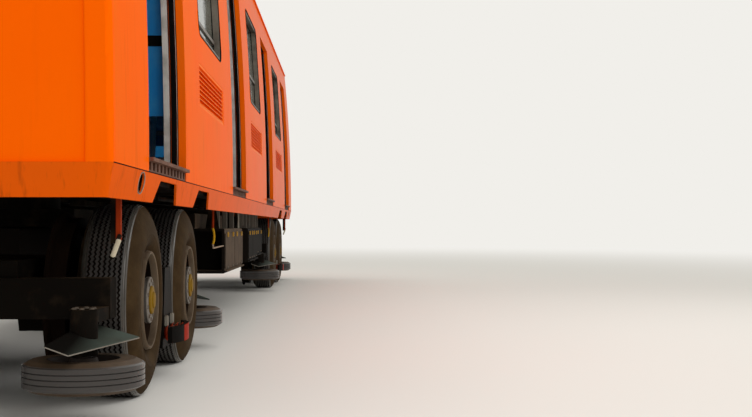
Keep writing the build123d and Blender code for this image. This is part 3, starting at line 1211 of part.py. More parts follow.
frame = bogie_frame() + bogie_bolster()
fittings = guards() + both_sides([collector_gear()])
axle = wheelset()
tyres = both_sides([road_tyre()])
guide = guide_wheel()
for bogie, bogie_x in (("a", -BOGIE_X), ("b", BOGIE_X)):
    here = Location((bogie_x, 0, 0))
    save("bogie_frame_" + bogie, frame.moved(here))
    save("bogie_fittings_" + bogie, [shape.moved(here) for shape in fittings])
    for number, axle_x in enumerate((-WHEEL_BASE / 2, WHEEL_BASE / 2), start=1):
        there = Location((bogie_x + axle_x, 0, AXLE_Z))
        save("wheelset_%s%d" % (bogie, number), axle.moved(there))
        save("tyres_%s%d" % (bogie, number), [tyre.moved(there) for tyre in tyres])
    corners = [(sign_x, sign_y) for sign_x in (-1, 1) for sign_y in (-1, 1)]
    for number, (sign_x, sign_y) in enumerate(corners, start=1):
        there = Location((bogie_x + sign_x * GUIDE_X, sign_y * GUIDE_Y, 0))
        save("guide_wheel_%s%d" % (bogie, number), guide.moved(there))
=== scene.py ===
import math

import bmesh
import bpy
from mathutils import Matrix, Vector


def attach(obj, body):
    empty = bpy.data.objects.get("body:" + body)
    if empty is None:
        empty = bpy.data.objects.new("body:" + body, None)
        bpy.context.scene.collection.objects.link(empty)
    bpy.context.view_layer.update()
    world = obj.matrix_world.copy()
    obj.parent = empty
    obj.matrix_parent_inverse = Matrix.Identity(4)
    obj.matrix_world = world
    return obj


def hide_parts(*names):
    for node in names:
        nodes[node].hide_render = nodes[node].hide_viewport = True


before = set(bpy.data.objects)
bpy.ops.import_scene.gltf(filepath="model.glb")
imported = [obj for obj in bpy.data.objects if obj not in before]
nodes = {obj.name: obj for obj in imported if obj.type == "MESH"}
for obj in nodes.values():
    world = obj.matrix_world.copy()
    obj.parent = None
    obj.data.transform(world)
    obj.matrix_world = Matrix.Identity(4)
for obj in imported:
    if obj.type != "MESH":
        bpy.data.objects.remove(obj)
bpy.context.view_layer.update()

# The view: an eye at hip height beside the near end of the car, looking along its side.
# The photograph's vanishing point of all lines along the car sets how the camera is turned.
PHOTO_WIDTH_PX = 752
PHOTO_HEIGHT_PX = 417
FOCAL_PX = 1192
VANISHING_X_PX = 345
VANISHING_Y_PX = 226
SENSOR_MM = 36
VIEW_REACH_M = 400
EYE = Vector((-12.575, -2.17, 0.888))

turn = math.atan((PHOTO_WIDTH_PX / 2 - VANISHING_X_PX) / FOCAL_PX)
rise = math.atan((VANISHING_Y_PX - PHOTO_HEIGHT_PX / 2) / FOCAL_PX)
look = Vector((math.cos(turn) * math.cos(rise), -math.sin(turn) * math.cos(rise), math.sin(rise)))
camera_data = bpy.data.cameras.new("aisle_camera")
camera_data.sensor_width = SENSOR_MM
camera_data.lens = SENSOR_MM * FOCAL_PX / PHOTO_WIDTH_PX
camera_data.clip_end = VIEW_REACH_M
camera = bpy.data.objects.new("aisle_camera", camera_data)
camera.location = EYE
camera.rotation_euler = look.to_track_quat("-Z", "Y").to_euler()
bpy.context.scene.collection.objects.link(camera)
bpy.context.scene.camera = camera
bpy.context.scene.view_settings.view_transform = "Standard"


# The studio: a pale matt floor that fades into a pale surround, under long soft lamps on both sides.
# Camera, glossy and clear rays see the pale surround; the car itself is lit at a plain level.
def linear(colour):
    """An sRGB hex colour as the linear values that a shader takes."""
    channels = [int(colour[at:at + 2], 16) / 255 for at in (1, 3, 5)]
    return tuple(c / 12.92 if c <= 0.04045 else ((c + 0.055) / 1.055) ** 2.4 for c in channels) + (1.0,)


def add(tree, kind, inputs=None, **settings):
    """Add a node, set its properties and fill its sockets with values or with other nodes' outputs."""
    made = tree.nodes.new(kind)
    for name, value in settings.items():
        setattr(made, name, value)
    for key, value in (inputs or {}).items():
        if isinstance(value, bpy.types.NodeSocket):
            tree.links.new(value, made.inputs[key])
        else:
            made.inputs[key].default_value = value
    return made


def link(piece):
    """Put an object in the scene."""
    bpy.context.scene.collection.objects.link(piece)
    return piece


def surfaced(name, **values):
    """A new material with one Principled shader and its plain socket values."""
    material = bpy.data.materials.new(name)
    material.use_nodes = True
    tree = material.node_tree
    tree.nodes.clear()
    sockets = {key.replace("_", " "): value for key, value in values.items()}
    surface = add(tree, "ShaderNodeBsdfPrincipled", sockets)
    add(tree, "ShaderNodeOutputMaterial", {"Surface": surface.outputs["BSDF"]})
    return material, tree, surface


SURROUND = "#F1EFEA"
STUDIO_FLOOR = "#EAE8E3"
FLOOR_HALF_M = 150.0
FLOOR_FADE_M = (6.5, 24.0)
FLOOR_FADE_SHAPE = (0.6, 1.0, 1.0)
SURROUND_LIGHT = 0.85
LAMPS = (
    # name, place, aimed at, size along, size across, watts
    ("aisle_lamp", (-6.0, -5.5, 4.6), (-4.0, -1.2, 1.0), 14.0, 1.2, 150),
    ("near_lamp", (-19.0, -5.0, 5.5), (-7.6, -1.0, 1.1), 5.0, 4.0, 130),
    ("roof_lamp", (0.0, 0.0, 9.0), (0.0, 0.0, 2.0), 18.0, 5.0, 170),
    ("far_lamp", (4.0, 7.0, 5.0), (2.0, 1.0, 1.2), 14.0, 1.6, 150),
)

world = bpy.data.worlds.new("studio")
bpy.context.scene.world = world
world.use_nodes = True
sky = world.node_tree
sky.nodes.clear()
ray = add(sky, "ShaderNodeLightPath")
seen = add(sky, "ShaderNodeMath", {0: ray.outputs["Is Camera Ray"], 1: ray.outputs["Is Glossy Ray"]},
           operation="MAXIMUM")
seen = add(sky, "ShaderNodeMath", {0: seen.outputs[0], 1: ray.outputs["Is Transmission Ray"]},
           operation="MAXIMUM")
strength = add(sky, "ShaderNodeMapRange", {"Value": seen.outputs[0], "To Min": SURROUND_LIGHT, "To Max": 1.0})
back = add(sky, "ShaderNodeBackground", {"Color": linear(SURROUND), "Strength": strength.outputs["Result"]})
add(sky, "ShaderNodeOutputWorld", {"Surface": back.outputs[0]})

for name, place, aim, along, across, watts in LAMPS:
    lamp_data = bpy.data.lights.new(name, "AREA")
    lamp_data.shape = "RECTANGLE"
    lamp_data.size = along
    lamp_data.size_y = across
    lamp_data.energy = watts
    lamp = link(bpy.data.objects.new(name, lamp_data))
    lamp.location = place
    lamp.rotation_euler = (Vector(aim) - Vector(place)).to_track_quat("-Z", "Y").to_euler()

# Matt floor paint: it takes the car's soft shadow, mirrors nothing, and is lost in the surround further out.
studio_paint, tree, surface = surfaced("studio_floor_paint", Base_Color=linear(STUDIO_FLOOR), Roughness=0.9,
                                       Specular_IOR_Level=0.0)
place = add(tree, "ShaderNodeTexCoord")
drawn_in = add(tree, "ShaderNodeVectorMath", {0: place.outputs["Object"], 1: FLOOR_FADE_SHAPE},
               operation="MULTIPLY")
reach = add(tree, "ShaderNodeVectorMath", {0: drawn_in.outputs[0]}, operation="LENGTH")
far = add(tree, "ShaderNodeMapRange", {"Value": reach.outputs["Value"], "From Min": FLOOR_FADE_M[0],
                                       "From Max": FLOOR_FADE_M[1]}, interpolation_type="SMOOTHSTEP")
ray = add(tree, "ShaderNodeLightPath")
seen = add(tree, "ShaderNodeMath", {0: ray.outputs["Is Camera Ray"], 1: ray.outputs["Is Glossy Ray"]},
           operation="MAXIMUM")
share = add(tree, "ShaderNodeMath", {0: far.outputs["Result"], 1: seen.outputs[0]}, operation="MULTIPLY")
glow = add(tree, "ShaderNodeEmission", {"Color": linear(SURROUND), "Strength": 1.0})
faded = add(tree, "ShaderNodeMixShader", {0: share.outputs[0], 1: surface.outputs["BSDF"],
                                          2: glow.outputs[0]})
output = next(node for node in tree.nodes if node.type == "OUTPUT_MATERIAL")
tree.links.new(faded.outputs[0], output.inputs["Surface"])
floor_mesh = bpy.data.meshes.new("studio_floor")
half = FLOOR_HALF_M
floor_corners = [(-half, -half, 0), (half, -half, 0), (half, half, 0), (-half, half, 0)]
floor_mesh.from_pydata(floor_corners, [], [(0, 1, 2, 3)])
floor_mesh.materials.append(studio_paint)
link(bpy.data.objects.new("studio_floor", floor_mesh))

# Underframe: welded steel beams, brackets and rails in black bituminous paint under years of brown dust.
# The dust lies thick on what faces up and stays thin on what faces down. Two air pipes run along it,
# each held up under the cross beams by pressed clips.
CHASSIS_BLACK = "#12100E"
ROAD_DUST = "#4E3E2E"
DUST_PATCH_M = 0.12
DUST_GRAIN_M = 0.006
DUST_GRAIN_HEIGHT_M = 0.0006
PIPE_Y = 0.88
PIPE_Z = 1.078
PIPE_RADIUS = 0.0165
PIPE_REACH = 7.45
PIPE_STEPS = 12
CLIP_X = (-6.65, -4.45, -3.45, -2.3, -1.15, 0.0, 1.15, 2.3, 3.45, 4.45, 6.65)
CLIP_HALF = 0.02
CLIP_WIDER = 1.4
CLIP_LOWER = 1.2
BEAM_FOOT_Z = 1.095


def dusted_paint(name, paint, dust=ROAD_DUST, low=0.5, high=1.25, rough=0.6):
    """Dull paint with dust in patches, more of it where the surface faces up, and a fine grain.

    Dust starts where the patches and the facing together pass low, and covers all where they pass high.
    Patches are as wide as a hand. The grit's grain is drawn at 6 mm, coarser than real, so that it shows.
    """
    material, tree, surface = surfaced(name, Roughness=rough, Specular_IOR_Level=0.005)
    place = add(tree, "ShaderNodeTexCoord")
    patches = add(tree, "ShaderNodeTexNoise", {"Vector": place.outputs["Object"], "Scale": 1 / DUST_PATCH_M,
                                               "Detail": 4.0, "Roughness": 0.6})
    normal = add(tree, "ShaderNodeNewGeometry")
    facing = add(tree, "ShaderNodeSeparateXYZ", {0: normal.outputs["Normal"]})
    up = add(tree, "ShaderNodeMapRange", {"Value": facing.outputs["Z"], "From Min": -0.2, "From Max": 1.0,
                                          "To Max": 0.5})
    total = add(tree, "ShaderNodeMath", {0: patches.outputs["Fac"], 1: up.outputs["Result"]}, operation="ADD")
    cover = add(tree, "ShaderNodeMapRange", {"Value": total.outputs[0], "From Min": low, "From Max": high})
    colour = add(tree, "ShaderNodeMix", {"Factor": cover.outputs["Result"], "A": linear(paint),
                                         "B": linear(dust)}, data_type="RGBA")
    tree.links.new(colour.outputs["Result"], surface.inputs["Base Color"])
    grain = add(tree, "ShaderNodeTexNoise", {"Vector": place.outputs["Object"], "Scale": 1 / DUST_GRAIN_M,
                                             "Detail": 2.0})
    bump = add(tree, "ShaderNodeBump", {"Height": grain.outputs["Fac"], "Distance": DUST_GRAIN_HEIGHT_M,
                                        "Strength": 0.5})
    tree.links.new(bump.outputs["Normal"], surface.inputs["Normal"])
    return material


def dress(material, *names):
    """Give CAD nodes their finish; their shading comes smooth with the model."""
    for name in names:
        nodes[name].data.materials.clear()
        nodes[name].data.materials.append(material)


def built(name, finishes, body, slot, points, faces, kinds=None, ease=0.0, sharp=35):
    """A closed piece from its points and faces, its edges eased, that rides on a body."""
    form = bmesh.new()
    corners = [form.verts.new(point) for point in points]
    for number, indices in enumerate(faces):
        face = form.faces.new([corners[index] for index in indices])
        face.material_index = kinds[number] if kinds else 0
    bmesh.ops.remove_doubles(form, verts=form.verts, dist=0.00001)
    bmesh.ops.recalc_face_normals(form, faces=form.faces)
    if ease:
        bmesh.ops.bevel(form, geom=form.edges[:], offset=ease, segments=2, affect="EDGES", clamp_overlap=True)
    mesh = bpy.data.meshes.new(name)
    form.to_mesh(mesh)
    form.free()
    mesh.shade_smooth()
    mesh.set_sharp_from_angle(angle=math.radians(sharp))
    for finish in finishes:
        mesh.materials.append(finish)
    piece = link(bpy.data.objects.new(name, mesh))
    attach(piece, body)
    return piece


def bars(boxes):
    """Points and faces of straight bars, each given by its x, y and z range."""
    points = []
    faces = []
    sides = ((0, 1, 3, 2), (4, 6, 7, 5), (0, 4, 5, 1), (2, 3, 7, 6), (0, 2, 6, 4), (1, 5, 7, 3))
    for x, y, z in boxes:
        start = len(points)
        points += [(a, b, c) for a in x for b in y for c in z]
        faces += [tuple(start + corner for corner in face) for face in sides]
    return points, faces


def tubes(runs, radius, steps):
    """Points and faces of round bars with closed ends, each run through its points."""
    points = []
    faces = []
    for run in runs:
        line = [Vector(point) for point in run]
        start = len(points)
        side = (line[1] - line[0]).orthogonal().normalized()
        for number, point in enumerate(line):
            before = line[max(number - 1, 0)]
            after = line[min(number + 1, len(line) - 1)]
            along = (after - before).normalized()
            side = (side - along * side.dot(along)).normalized()
            other = along.cross(side)
            for step in range(steps):
                angle = 2 * math.pi * step / steps
                points.append(point + (side * math.cos(angle) + other * math.sin(angle)) * radius)
        for ring in range(len(line) - 1):
            for step in range(steps):
                here = start + ring * steps
                after = (step + 1) % steps
                faces.append((here + step, here + after, here + steps + after, here + steps + step))
        faces.append(tuple(start + step for step in range(steps)))
        faces.append(tuple(start + (len(line) - 1) * steps + step for step in range(steps)))
    return points, faces


# Bituminous paint: a dead black that takes its shape to the eye only from the dust on it.
chassis_paint = dusted_paint("bituminous_chassis_paint", CHASSIS_BLACK)
dress(chassis_paint, "underframe", "underbody_brackets", "door_rails")
pipe_runs = []
clips = []
clip_half_y = CLIP_WIDER * PIPE_RADIUS
for side in (-1, 1):
    y = side * PIPE_Y
    pipe_runs.append(((-PIPE_REACH, y, PIPE_Z), (PIPE_REACH, y, PIPE_Z)))
for x in CLIP_X:
    for side in (-1, 1):
        y = side * PIPE_Y
        clips.append(((x - CLIP_HALF, x + CLIP_HALF), (y - clip_half_y, y + clip_half_y),
                      (PIPE_Z - CLIP_LOWER * PIPE_RADIUS, BEAM_FOOT_Z)))
built("air_pipes", [chassis_paint], "root", "frame_paint", *tubes(pipe_runs, PIPE_RADIUS, PIPE_STEPS))
built("pipe_clips", [chassis_paint], "root", "frame_paint", *bars(clips), ease=0.002)

# Fasteners: zinc-plated hexagon heads on washers, gone dull and dusty, wherever parts are bolted.
# One node tree sets them: each head stands on its point along the point's own direction.
ZINC_DULL = "#6A6259"
WASHER_WIDER = 1.35
WASHER_THINNER = 0.5
WASHER_STEPS = 14
FASTENER_INPUTS = (
    # name, kind of socket
    ("Geometry", "NodeSocketGeometry"),
    ("Head radius", "NodeSocketFloat"),
    ("Head height", "NodeSocketFloat"),
    ("Sides", "NodeSocketInt"),
    ("Finish", "NodeSocketMaterial"),
)

# Zinc plating gone dull: small grey points that tell bolted parts from welded ones.
zinc = dusted_paint("dulled_zinc_plating", ZINC_DULL, low=0.45, high=1.2, rough=0.5)
heads = bpy.data.node_groups.new("fasteners", "GeometryNodeTree")
for name, kind in FASTENER_INPUTS:
    heads.interface.new_socket(name, in_out="INPUT", socket_type=kind)
heads.interface.new_socket("Geometry", in_out="OUTPUT", socket_type="NodeSocketGeometry")
given = add(heads, "NodeGroupInput")
head = add(heads, "GeometryNodeMeshCylinder", {
    "Vertices": given.outputs["Sides"], "Radius": given.outputs["Head radius"],
    "Depth": given.outputs["Head height"]})
wide = add(heads, "ShaderNodeMath", {0: given.outputs["Head radius"], 1: WASHER_WIDER},
           operation="MULTIPLY")
thin = add(heads, "ShaderNodeMath", {0: given.outputs["Head height"], 1: WASHER_THINNER},
           operation="MULTIPLY")
washer = add(heads, "GeometryNodeMeshCylinder", {"Vertices": WASHER_STEPS, "Radius": wide.outputs[0],
                                                 "Depth": thin.outputs[0]})
both = add(heads, "GeometryNodeJoinGeometry", {"Geometry": head.outputs["Mesh"]})
heads.links.new(washer.outputs["Mesh"], both.inputs["Geometry"])
aim = add(heads, "GeometryNodeInputNamedAttribute", {"Name": "aim"}, data_type="FLOAT_VECTOR")
turned_to = add(heads, "FunctionNodeAlignRotationToVector", {"Vector": aim.outputs["Attribute"]}, axis="Z")
placed = add(heads, "GeometryNodeInstanceOnPoints", {
    "Points": given.outputs["Geometry"], "Instance": both.outputs["Geometry"],
    "Rotation": turned_to.outputs["Rotation"]})
real = add(heads, "GeometryNodeRealizeInstances", {"Geometry": placed.outputs["Instances"]})
finished = add(heads, "GeometryNodeSetMaterial", {"Geometry": real.outputs["Geometry"],
                                                  "Material": given.outputs["Finish"]})
add(heads, "NodeGroupOutput", {0: finished.outputs["Geometry"]})


def fasteners(name, places, radius, height, finish, body, sides=6):
    """Bolt or rivet heads at places, each a point and the direction that it stands in."""
    mesh = bpy.data.meshes.new(name + "_places")
    mesh.from_pydata([tuple(point) for point, direction in places], [], [])
    directions = mesh.attributes.new("aim", "FLOAT_VECTOR", "POINT")
    for number, (point, direction) in enumerate(places):
        directions.data[number].vector = direction
    piece = link(bpy.data.objects.new(name, mesh))
    modifier = piece.modifiers.new("fasteners", "NODES")
    modifier.node_group = heads
    sizes = {"Head radius": radius, "Head height": height, "Sides": sides, "Finish": finish}
    for socket in heads.interface.items_tree:
        if socket.name in sizes:
            modifier[socket.identifier] = sizes[socket.name]
    made = bpy.data.meshes.new_from_object(piece.evaluated_get(bpy.context.evaluated_depsgraph_get()))
    piece.modifiers.clear()
    piece.data = made
    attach(piece, body)
    return piece


# Body shell: pressed steel panels in glossy orange enamel, welded at the corners and over the sole.
# The sheet is a little wavy, which bends what it mirrors, and rain has streaked it with brake dust.
# The dust gathers towards the sole, where stones have chipped the paint.
ENAMEL_ORANGE = "#FC5F00"
ENAMEL_FADED = "#F26A12"
ENAMEL_END_FADED = "#FF6603"
GRILLE_ORANGE_PAINTED_LIGHT = "#FF8030"
# A lighter copy of the walls' orange: painted light for the grille slats.
ENAMEL_DIRT = "#8E3D12"
ENAMEL_CHIP = "#D9C9B8"
ENAMEL_ROUGH = (0.14, 0.5)
FADE_CLOUD_M = 0.5
PANEL_WAVE_M = 0.45
PANEL_WAVE_HEIGHT_M = 0.0022
STREAK_WIDTH_M = 0.03
STREAK_DRAW = (1, 1, 0.07)
STREAK_SPARSE = (0.55, 1.0)
CHIP_SPACING_M = 0.16
CHIP_EDGE = (0.022, 0.016)
SOLE_Z = 1.143
DIRT_TOP_Z = 2.05
# Joint black with painted shade: the line at the sole where the wall folds over the skirt.
SEAM_BLACK_AND_SHADE = "#0E0B09"
SEAM_REACH = 7.81
SEAM_HALF_HEIGHT = 0.0022
SEAM_PROUD = 0.0006
SEAM_BITE = 0.004
WALL_RADIUS = 23.4
ARC_CENTRE_Y = 1.25 - WALL_RADIUS
WIDEST_Z = 1.145
DOOR_CENTRES = (-6.3, -2.1, 2.1, 6.3)


def wall_y(depth, z):
    """Half width of the body at height z, a depth in from the outer face."""
    return ARC_CENTRE_Y + math.sqrt((WALL_RADIUS - depth) ** 2 - (z - WIDEST_Z) ** 2)


def enamel(name, colour, faded, dirt, foot_dirt, upper_dirt, chips=0.0):
    """Glossy enamel that fades in clouds, with streaked dirt towards the foot and stone chips.

    The gloss shows as low roughness alone: at a grazing look any more mirror would turn the orange pale.
    """
    material, tree, surface = surfaced(name, Specular_IOR_Level=0.0003)
    place = add(tree, "ShaderNodeTexCoord")
    fade = add(tree, "ShaderNodeTexNoise", {"Vector": place.outputs["Object"], "Scale": 1 / FADE_CLOUD_M,
                                            "Detail": 2.0})
    base = add(tree, "ShaderNodeMix", {"Factor": fade.outputs["Fac"], "A": linear(colour),
                                       "B": linear(faded)}, data_type="RGBA")
    drawn = add(tree, "ShaderNodeMapping", {"Vector": place.outputs["Object"], "Scale": STREAK_DRAW})
    streaks = add(tree, "ShaderNodeTexNoise", {"Vector": drawn.outputs[0], "Scale": 1 / STREAK_WIDTH_M,
                                               "Detail": 3.0, "Roughness": 0.6})
    height = add(tree, "ShaderNodeSeparateXYZ", {0: place.outputs["Object"]})
    low = add(tree, "ShaderNodeMapRange", {"Value": height.outputs["Z"], "From Min": DIRT_TOP_Z,
                                           "From Max": SOLE_Z, "To Min": upper_dirt, "To Max": foot_dirt})
    spots = add(tree, "ShaderNodeMapRange", {"Value": streaks.outputs["Fac"], "From Min": STREAK_SPARSE[0],
                                             "From Max": STREAK_SPARSE[1]})
    cover = add(tree, "ShaderNodeMath", {0: low.outputs["Result"], 1: spots.outputs["Result"]},
                operation="MULTIPLY")
    coloured = add(tree, "ShaderNodeMix", {"Factor": cover.outputs[0], "A": base.outputs["Result"],
                                           "B": linear(dirt)}, data_type="RGBA")
    cells = add(tree, "ShaderNodeTexVoronoi", {"Vector": place.outputs["Object"],
                                               "Scale": 1 / CHIP_SPACING_M})
    chip = add(tree, "ShaderNodeMapRange", {"Value": cells.outputs["Distance"], "From Min": CHIP_EDGE[0],
                                            "From Max": CHIP_EDGE[1], "To Max": chips})
    chipped = add(tree, "ShaderNodeMix", {"Factor": chip.outputs["Result"], "A": coloured.outputs["Result"],
                                          "B": linear(ENAMEL_CHIP)}, data_type="RGBA")
    tree.links.new(chipped.outputs["Result"], surface.inputs["Base Color"])
    rough = add(tree, "ShaderNodeMapRange", {"Value": cover.outputs[0], "To Min": ENAMEL_ROUGH[0],
                                             "To Max": ENAMEL_ROUGH[1]})
    tree.links.new(rough.outputs["Result"], surface.inputs["Roughness"])
    wave = add(tree, "ShaderNodeTexNoise", {"Vector": place.outputs["Object"], "Scale": 1 / PANEL_WAVE_M,
                                            "Detail": 1.0})
    bump = add(tree, "ShaderNodeBump", {"Height": wave.outputs["Fac"], "Distance": PANEL_WAVE_HEIGHT_M,
                                        "Strength": 1.0})
    tree.links.new(bump.outputs["Normal"], surface.inputs["Normal"])
    return material


def wall_strips(spans, z, depth_out, depth_in, steps=6):
    """Points and faces of strips that follow the curved walls on both sides, one for each span."""
    points = []
    faces = []
    for side in (-1, 1):
        for x in spans:
            start = len(points)
            for step in range(steps + 1):
                height = z[0] + (z[1] - z[0]) * step / steps
                for depth in (depth_out, depth_in):
                    points += [(x[0], side * wall_y(depth, height), height),
                               (x[1], side * wall_y(depth, height), height)]
            for step in range(steps):
                at = start + 4 * step
                for a, b in ((0, 1), (1, 3), (3, 2), (2, 0)):
                    faces.append((at + a, at + b, at + 4 + b, at + 4 + a))
            faces.append((start, start + 1, start + 3, start + 2))
            top = start + 4 * steps
            faces.append((top, top + 1, top + 3, top + 2))
    return points, faces


# Orange body enamel: the car's strong even orange, with faint brown runs low on the walls.
body_enamel = enamel("orange_body_enamel", ENAMEL_ORANGE, ENAMEL_FADED, ENAMEL_DIRT, 0.6, 0.08)
dress(body_enamel, "side_panels_left", "side_panels_right", "letterboards")
# Orange end enamel: cleaner and more even than the walls', as the sheltered ends catch little dust.
end_enamel = enamel("orange_end_enamel", ENAMEL_ORANGE, ENAMEL_END_FADED, ENAMEL_DIRT, 0.12, 0.03)
dress(end_enamel, "end_walls", "end_door_a", "end_door_b")
# Orange grille enamel: painted lighter against the slats' own shadows, so that the slats still read as
# orange.
dress(enamel("orange_grille_enamel_painted_light", GRILLE_ORANGE_PAINTED_LIGHT, ENAMEL_FADED, ENAMEL_DIRT, 0.6, 0.08), "grilles")
# Sole seam: a thin black line, the joint with the shade of its fold painted in, that parts walls from skirts.
sole_seam_and_shade = dusted_paint("black_sole_seam_and_painted_shade", SEAM_BLACK_AND_SHADE, low=0.8, high=1.6, rough=0.7)
seams = wall_strips([(-SEAM_REACH, SEAM_REACH)], (SOLE_Z - SEAM_HALF_HEIGHT, SOLE_Z + SEAM_HALF_HEIGHT),
                    -SEAM_PROUD, SEAM_BITE, 1)
built("sole_seams", [sole_seam_and_shade], "root", "tyre_rubber", *seams)

# Skirts: thin pressed plates welded under the sole, where they lean inwards and take the spray.
# They wear the same enamel, dulled and darkened by the road. A pale ring, a painted highlight, lines each
# slot.
SKIRT_ORANGE = "#EC5C06"
SKIRT_FADED = "#DA5A10"
SKIRT_DIRT = "#7A3310"
SKIRT_LEAN = 0.19
SLOT_X = 7.1
SLOT_Z = 1.085
SLOT_HALF_LENGTH = 0.08
SLOT_HALF_HEIGHT = 0.0495
SLOT_Y = 1.2386
SLOT_STEPS = 28
SLOT_RING_RADIUS = 0.0028
# A pale colour that stands for the highlight on each slot's edge.
PALE_RUBBER_AND_HIGHLIGHT = "#A08C7A"

# Road-dulled enamel: browner, streaked and dotted with chips, so the skirts read apart from the walls.
skirt_enamel = enamel("road_dulled_skirt_enamel", SKIRT_ORANGE, SKIRT_FADED, SKIRT_DIRT, 0.95, 0.5, 1.0)
dress(skirt_enamel, "skirts")
# Pale ring colour: a painted highlight, a light outline that draws the slot on the dark skirt.
pale_rubber_and_highlight = dusted_paint("pale_moulded_rubber_and_highlight", PALE_RUBBER_AND_HIGHLIGHT, low=0.7, high=1.5, rough=0.7)
rings = []
for side in (-1, 1):
    for end in (-1, 1):
        ring = []
        for step in range(SLOT_STEPS + 1):
            angle = 2 * math.pi * step / SLOT_STEPS
            z = SLOT_Z + SLOT_HALF_HEIGHT * math.sin(angle)
            lean = (z - SLOT_Z) * SKIRT_LEAN
            ring.append((end * SLOT_X + SLOT_HALF_LENGTH * math.cos(angle), side * (SLOT_Y + lean), z))
        rings.append(ring)
built("slot_highlight_rings", [pale_rubber_and_highlight], "root", "tyre_rubber", *tubes(rings, SLOT_RING_RADIUS, 8))

# Roof: welded steel sheet, once orange, now sun-bleached and stained with soot in patches.
# Shallow weld beads cross it where the sheets meet, and bump gives them.
ROOF_ORANGE = "#A8562A"
ROOF_SOOT = "#5B4A3E"
ROOF_BEAD_PITCH_M = 1.05
ROOF_BEAD_WIDTH_M = 0.012
ROOF_BEAD_HEIGHT_M = 0.002


def bands(tree, coordinate, pitch, width):
    """Zero on lines a pitch apart along a coordinate and one between them, eased over a width."""
    folded = add(tree, "ShaderNodeMath", {0: coordinate, 1: pitch / 2}, operation="PINGPONG")
    return add(tree, "ShaderNodeMapRange", {"Value": folded.outputs[0], "From Max": width}).outputs["Result"]


def shader_of(material):
    """A material's tree and its Principled shader."""
    tree = material.node_tree
    return tree, next(node for node in tree.nodes if node.type == "BSDF_PRINCIPLED")


def raise_bands(material, axis, pitch, width, height):
    """Add grooves, or beads where the height is below zero, across an axis to a material's own bump."""
    tree, surface = shader_of(material)
    under = surface.inputs["Normal"].links[0].from_socket
    place = add(tree, "ShaderNodeTexCoord")
    split = add(tree, "ShaderNodeSeparateXYZ", {0: place.outputs["Object"]})
    lines = bands(tree, split.outputs[axis], pitch, width)
    bump = add(tree, "ShaderNodeBump", {"Height": lines, "Distance": height, "Normal": under})
    tree.links.new(bump.outputs["Normal"], surface.inputs["Normal"])


# Sun-bleached paint: a chalky brown-orange with grey soot, so the roof lies back behind the bright walls.
roof_paint = dusted_paint("sun_bleached_roof_paint", ROOF_ORANGE, ROOF_SOOT, low=0.55, high=1.3, rough=0.55)
raise_bands(roof_paint, "X", ROOF_BEAD_PITCH_M, ROOF_BEAD_WIDTH_M, -ROOF_BEAD_HEIGHT_M)
dress(roof_paint, "roof")

# Floor: ribbed dark rubber sheet, glued down over the whole length and trodden paler in patches.
# The ribs run across the car and are bump.
FLOOR_RUBBER = "#262523"
FLOOR_WORN = "#57534C"
FLOOR_RIB_PITCH_M = 0.03
FLOOR_RIB_EDGE_M = 0.004
FLOOR_RIB_HEIGHT_M = 0.001

# Worn rubber: a dull near-black that keeps the inside dark under the blue boards.
floor_rubber = dusted_paint("worn_ribbed_floor_rubber", FLOOR_RUBBER, FLOOR_WORN, low=0.7, high=1.3,
                            rough=0.65)
raise_bands(floor_rubber, "X", FLOOR_RIB_PITCH_M, FLOOR_RIB_EDGE_M, FLOOR_RIB_HEIGHT_M)
dress(floor_rubber, "floor")

# Linings: blue melamine boards on the walls, ends and the windbreak screens beside the doorways.
# Brushed anodised strips are screwed over their ends at the doorways. Each screen has a black rubber
# bumper band across the face that looks at the window.
LINING_BLUE = "#1080C6"
LINING_SCUFF = "#3C93C4"
LINING_GRAIN_M = 0.0025
ANODISED = "#C6C3BD"
ANODISED_WORN = "#8C867E"
TRIM_REACH = (0.646, 0.69)
TRIM_DEPTH = (0.0925, 0.1265)
TRIM_Z = (1.217, 3.08)
BRUSH_M = 0.0015
BRUSH_HEIGHT_M = 0.0001
BRUSHED_UPRIGHT = (0.05, 1, 0.05)
MARKS_PER_M = 9.0
SCUFF_CLOUD_M = 0.25
WINDOW_CENTRES = (-4.2, 0.0, 4.2)
SCREEN_FACE = 1.332
SCREEN_BAND_Y = (0.345, 1.107)
SCREEN_BAND_Z = (1.947, 2.011)
SCREEN_BAND_PROUD = 0.004
BAND_BLACK = "#12110F"
BAND_DUST = "#2B2824"
BITE = 0.001


def moulded(name, colour, worn, grain_m, rough=0.4, grain_height=0.0003, gloss=0.3):
    """A moulded or pressed surface with clouded scuffs and a fine grain.

    The grain is drawn 2.5 to 4 mm wide, coarser than real, so that it shows.
    """
    material, tree, surface = surfaced(name, Roughness=rough, Specular_IOR_Level=gloss)
    place = add(tree, "ShaderNodeTexCoord")
    scuffs = add(tree, "ShaderNodeTexNoise", {"Vector": place.outputs["Object"], "Scale": 1 / SCUFF_CLOUD_M,
                                              "Detail": 6.0, "Roughness": 0.7})
    cover = add(tree, "ShaderNodeMapRange", {"Value": scuffs.outputs["Fac"], "From Min": 0.45,
                                             "From Max": 0.85})
    mixed = add(tree, "ShaderNodeMix", {"Factor": cover.outputs["Result"], "A": linear(colour),
                                        "B": linear(worn)}, data_type="RGBA")
    tree.links.new(mixed.outputs["Result"], surface.inputs["Base Color"])
    grain = add(tree, "ShaderNodeTexNoise", {"Vector": place.outputs["Object"], "Scale": 1 / grain_m})
    bump = add(tree, "ShaderNodeBump", {"Height": grain.outputs["Fac"], "Distance": grain_height,
                                        "Strength": 0.6})
    tree.links.new(bump.outputs["Normal"], surface.inputs["Normal"])
    return material


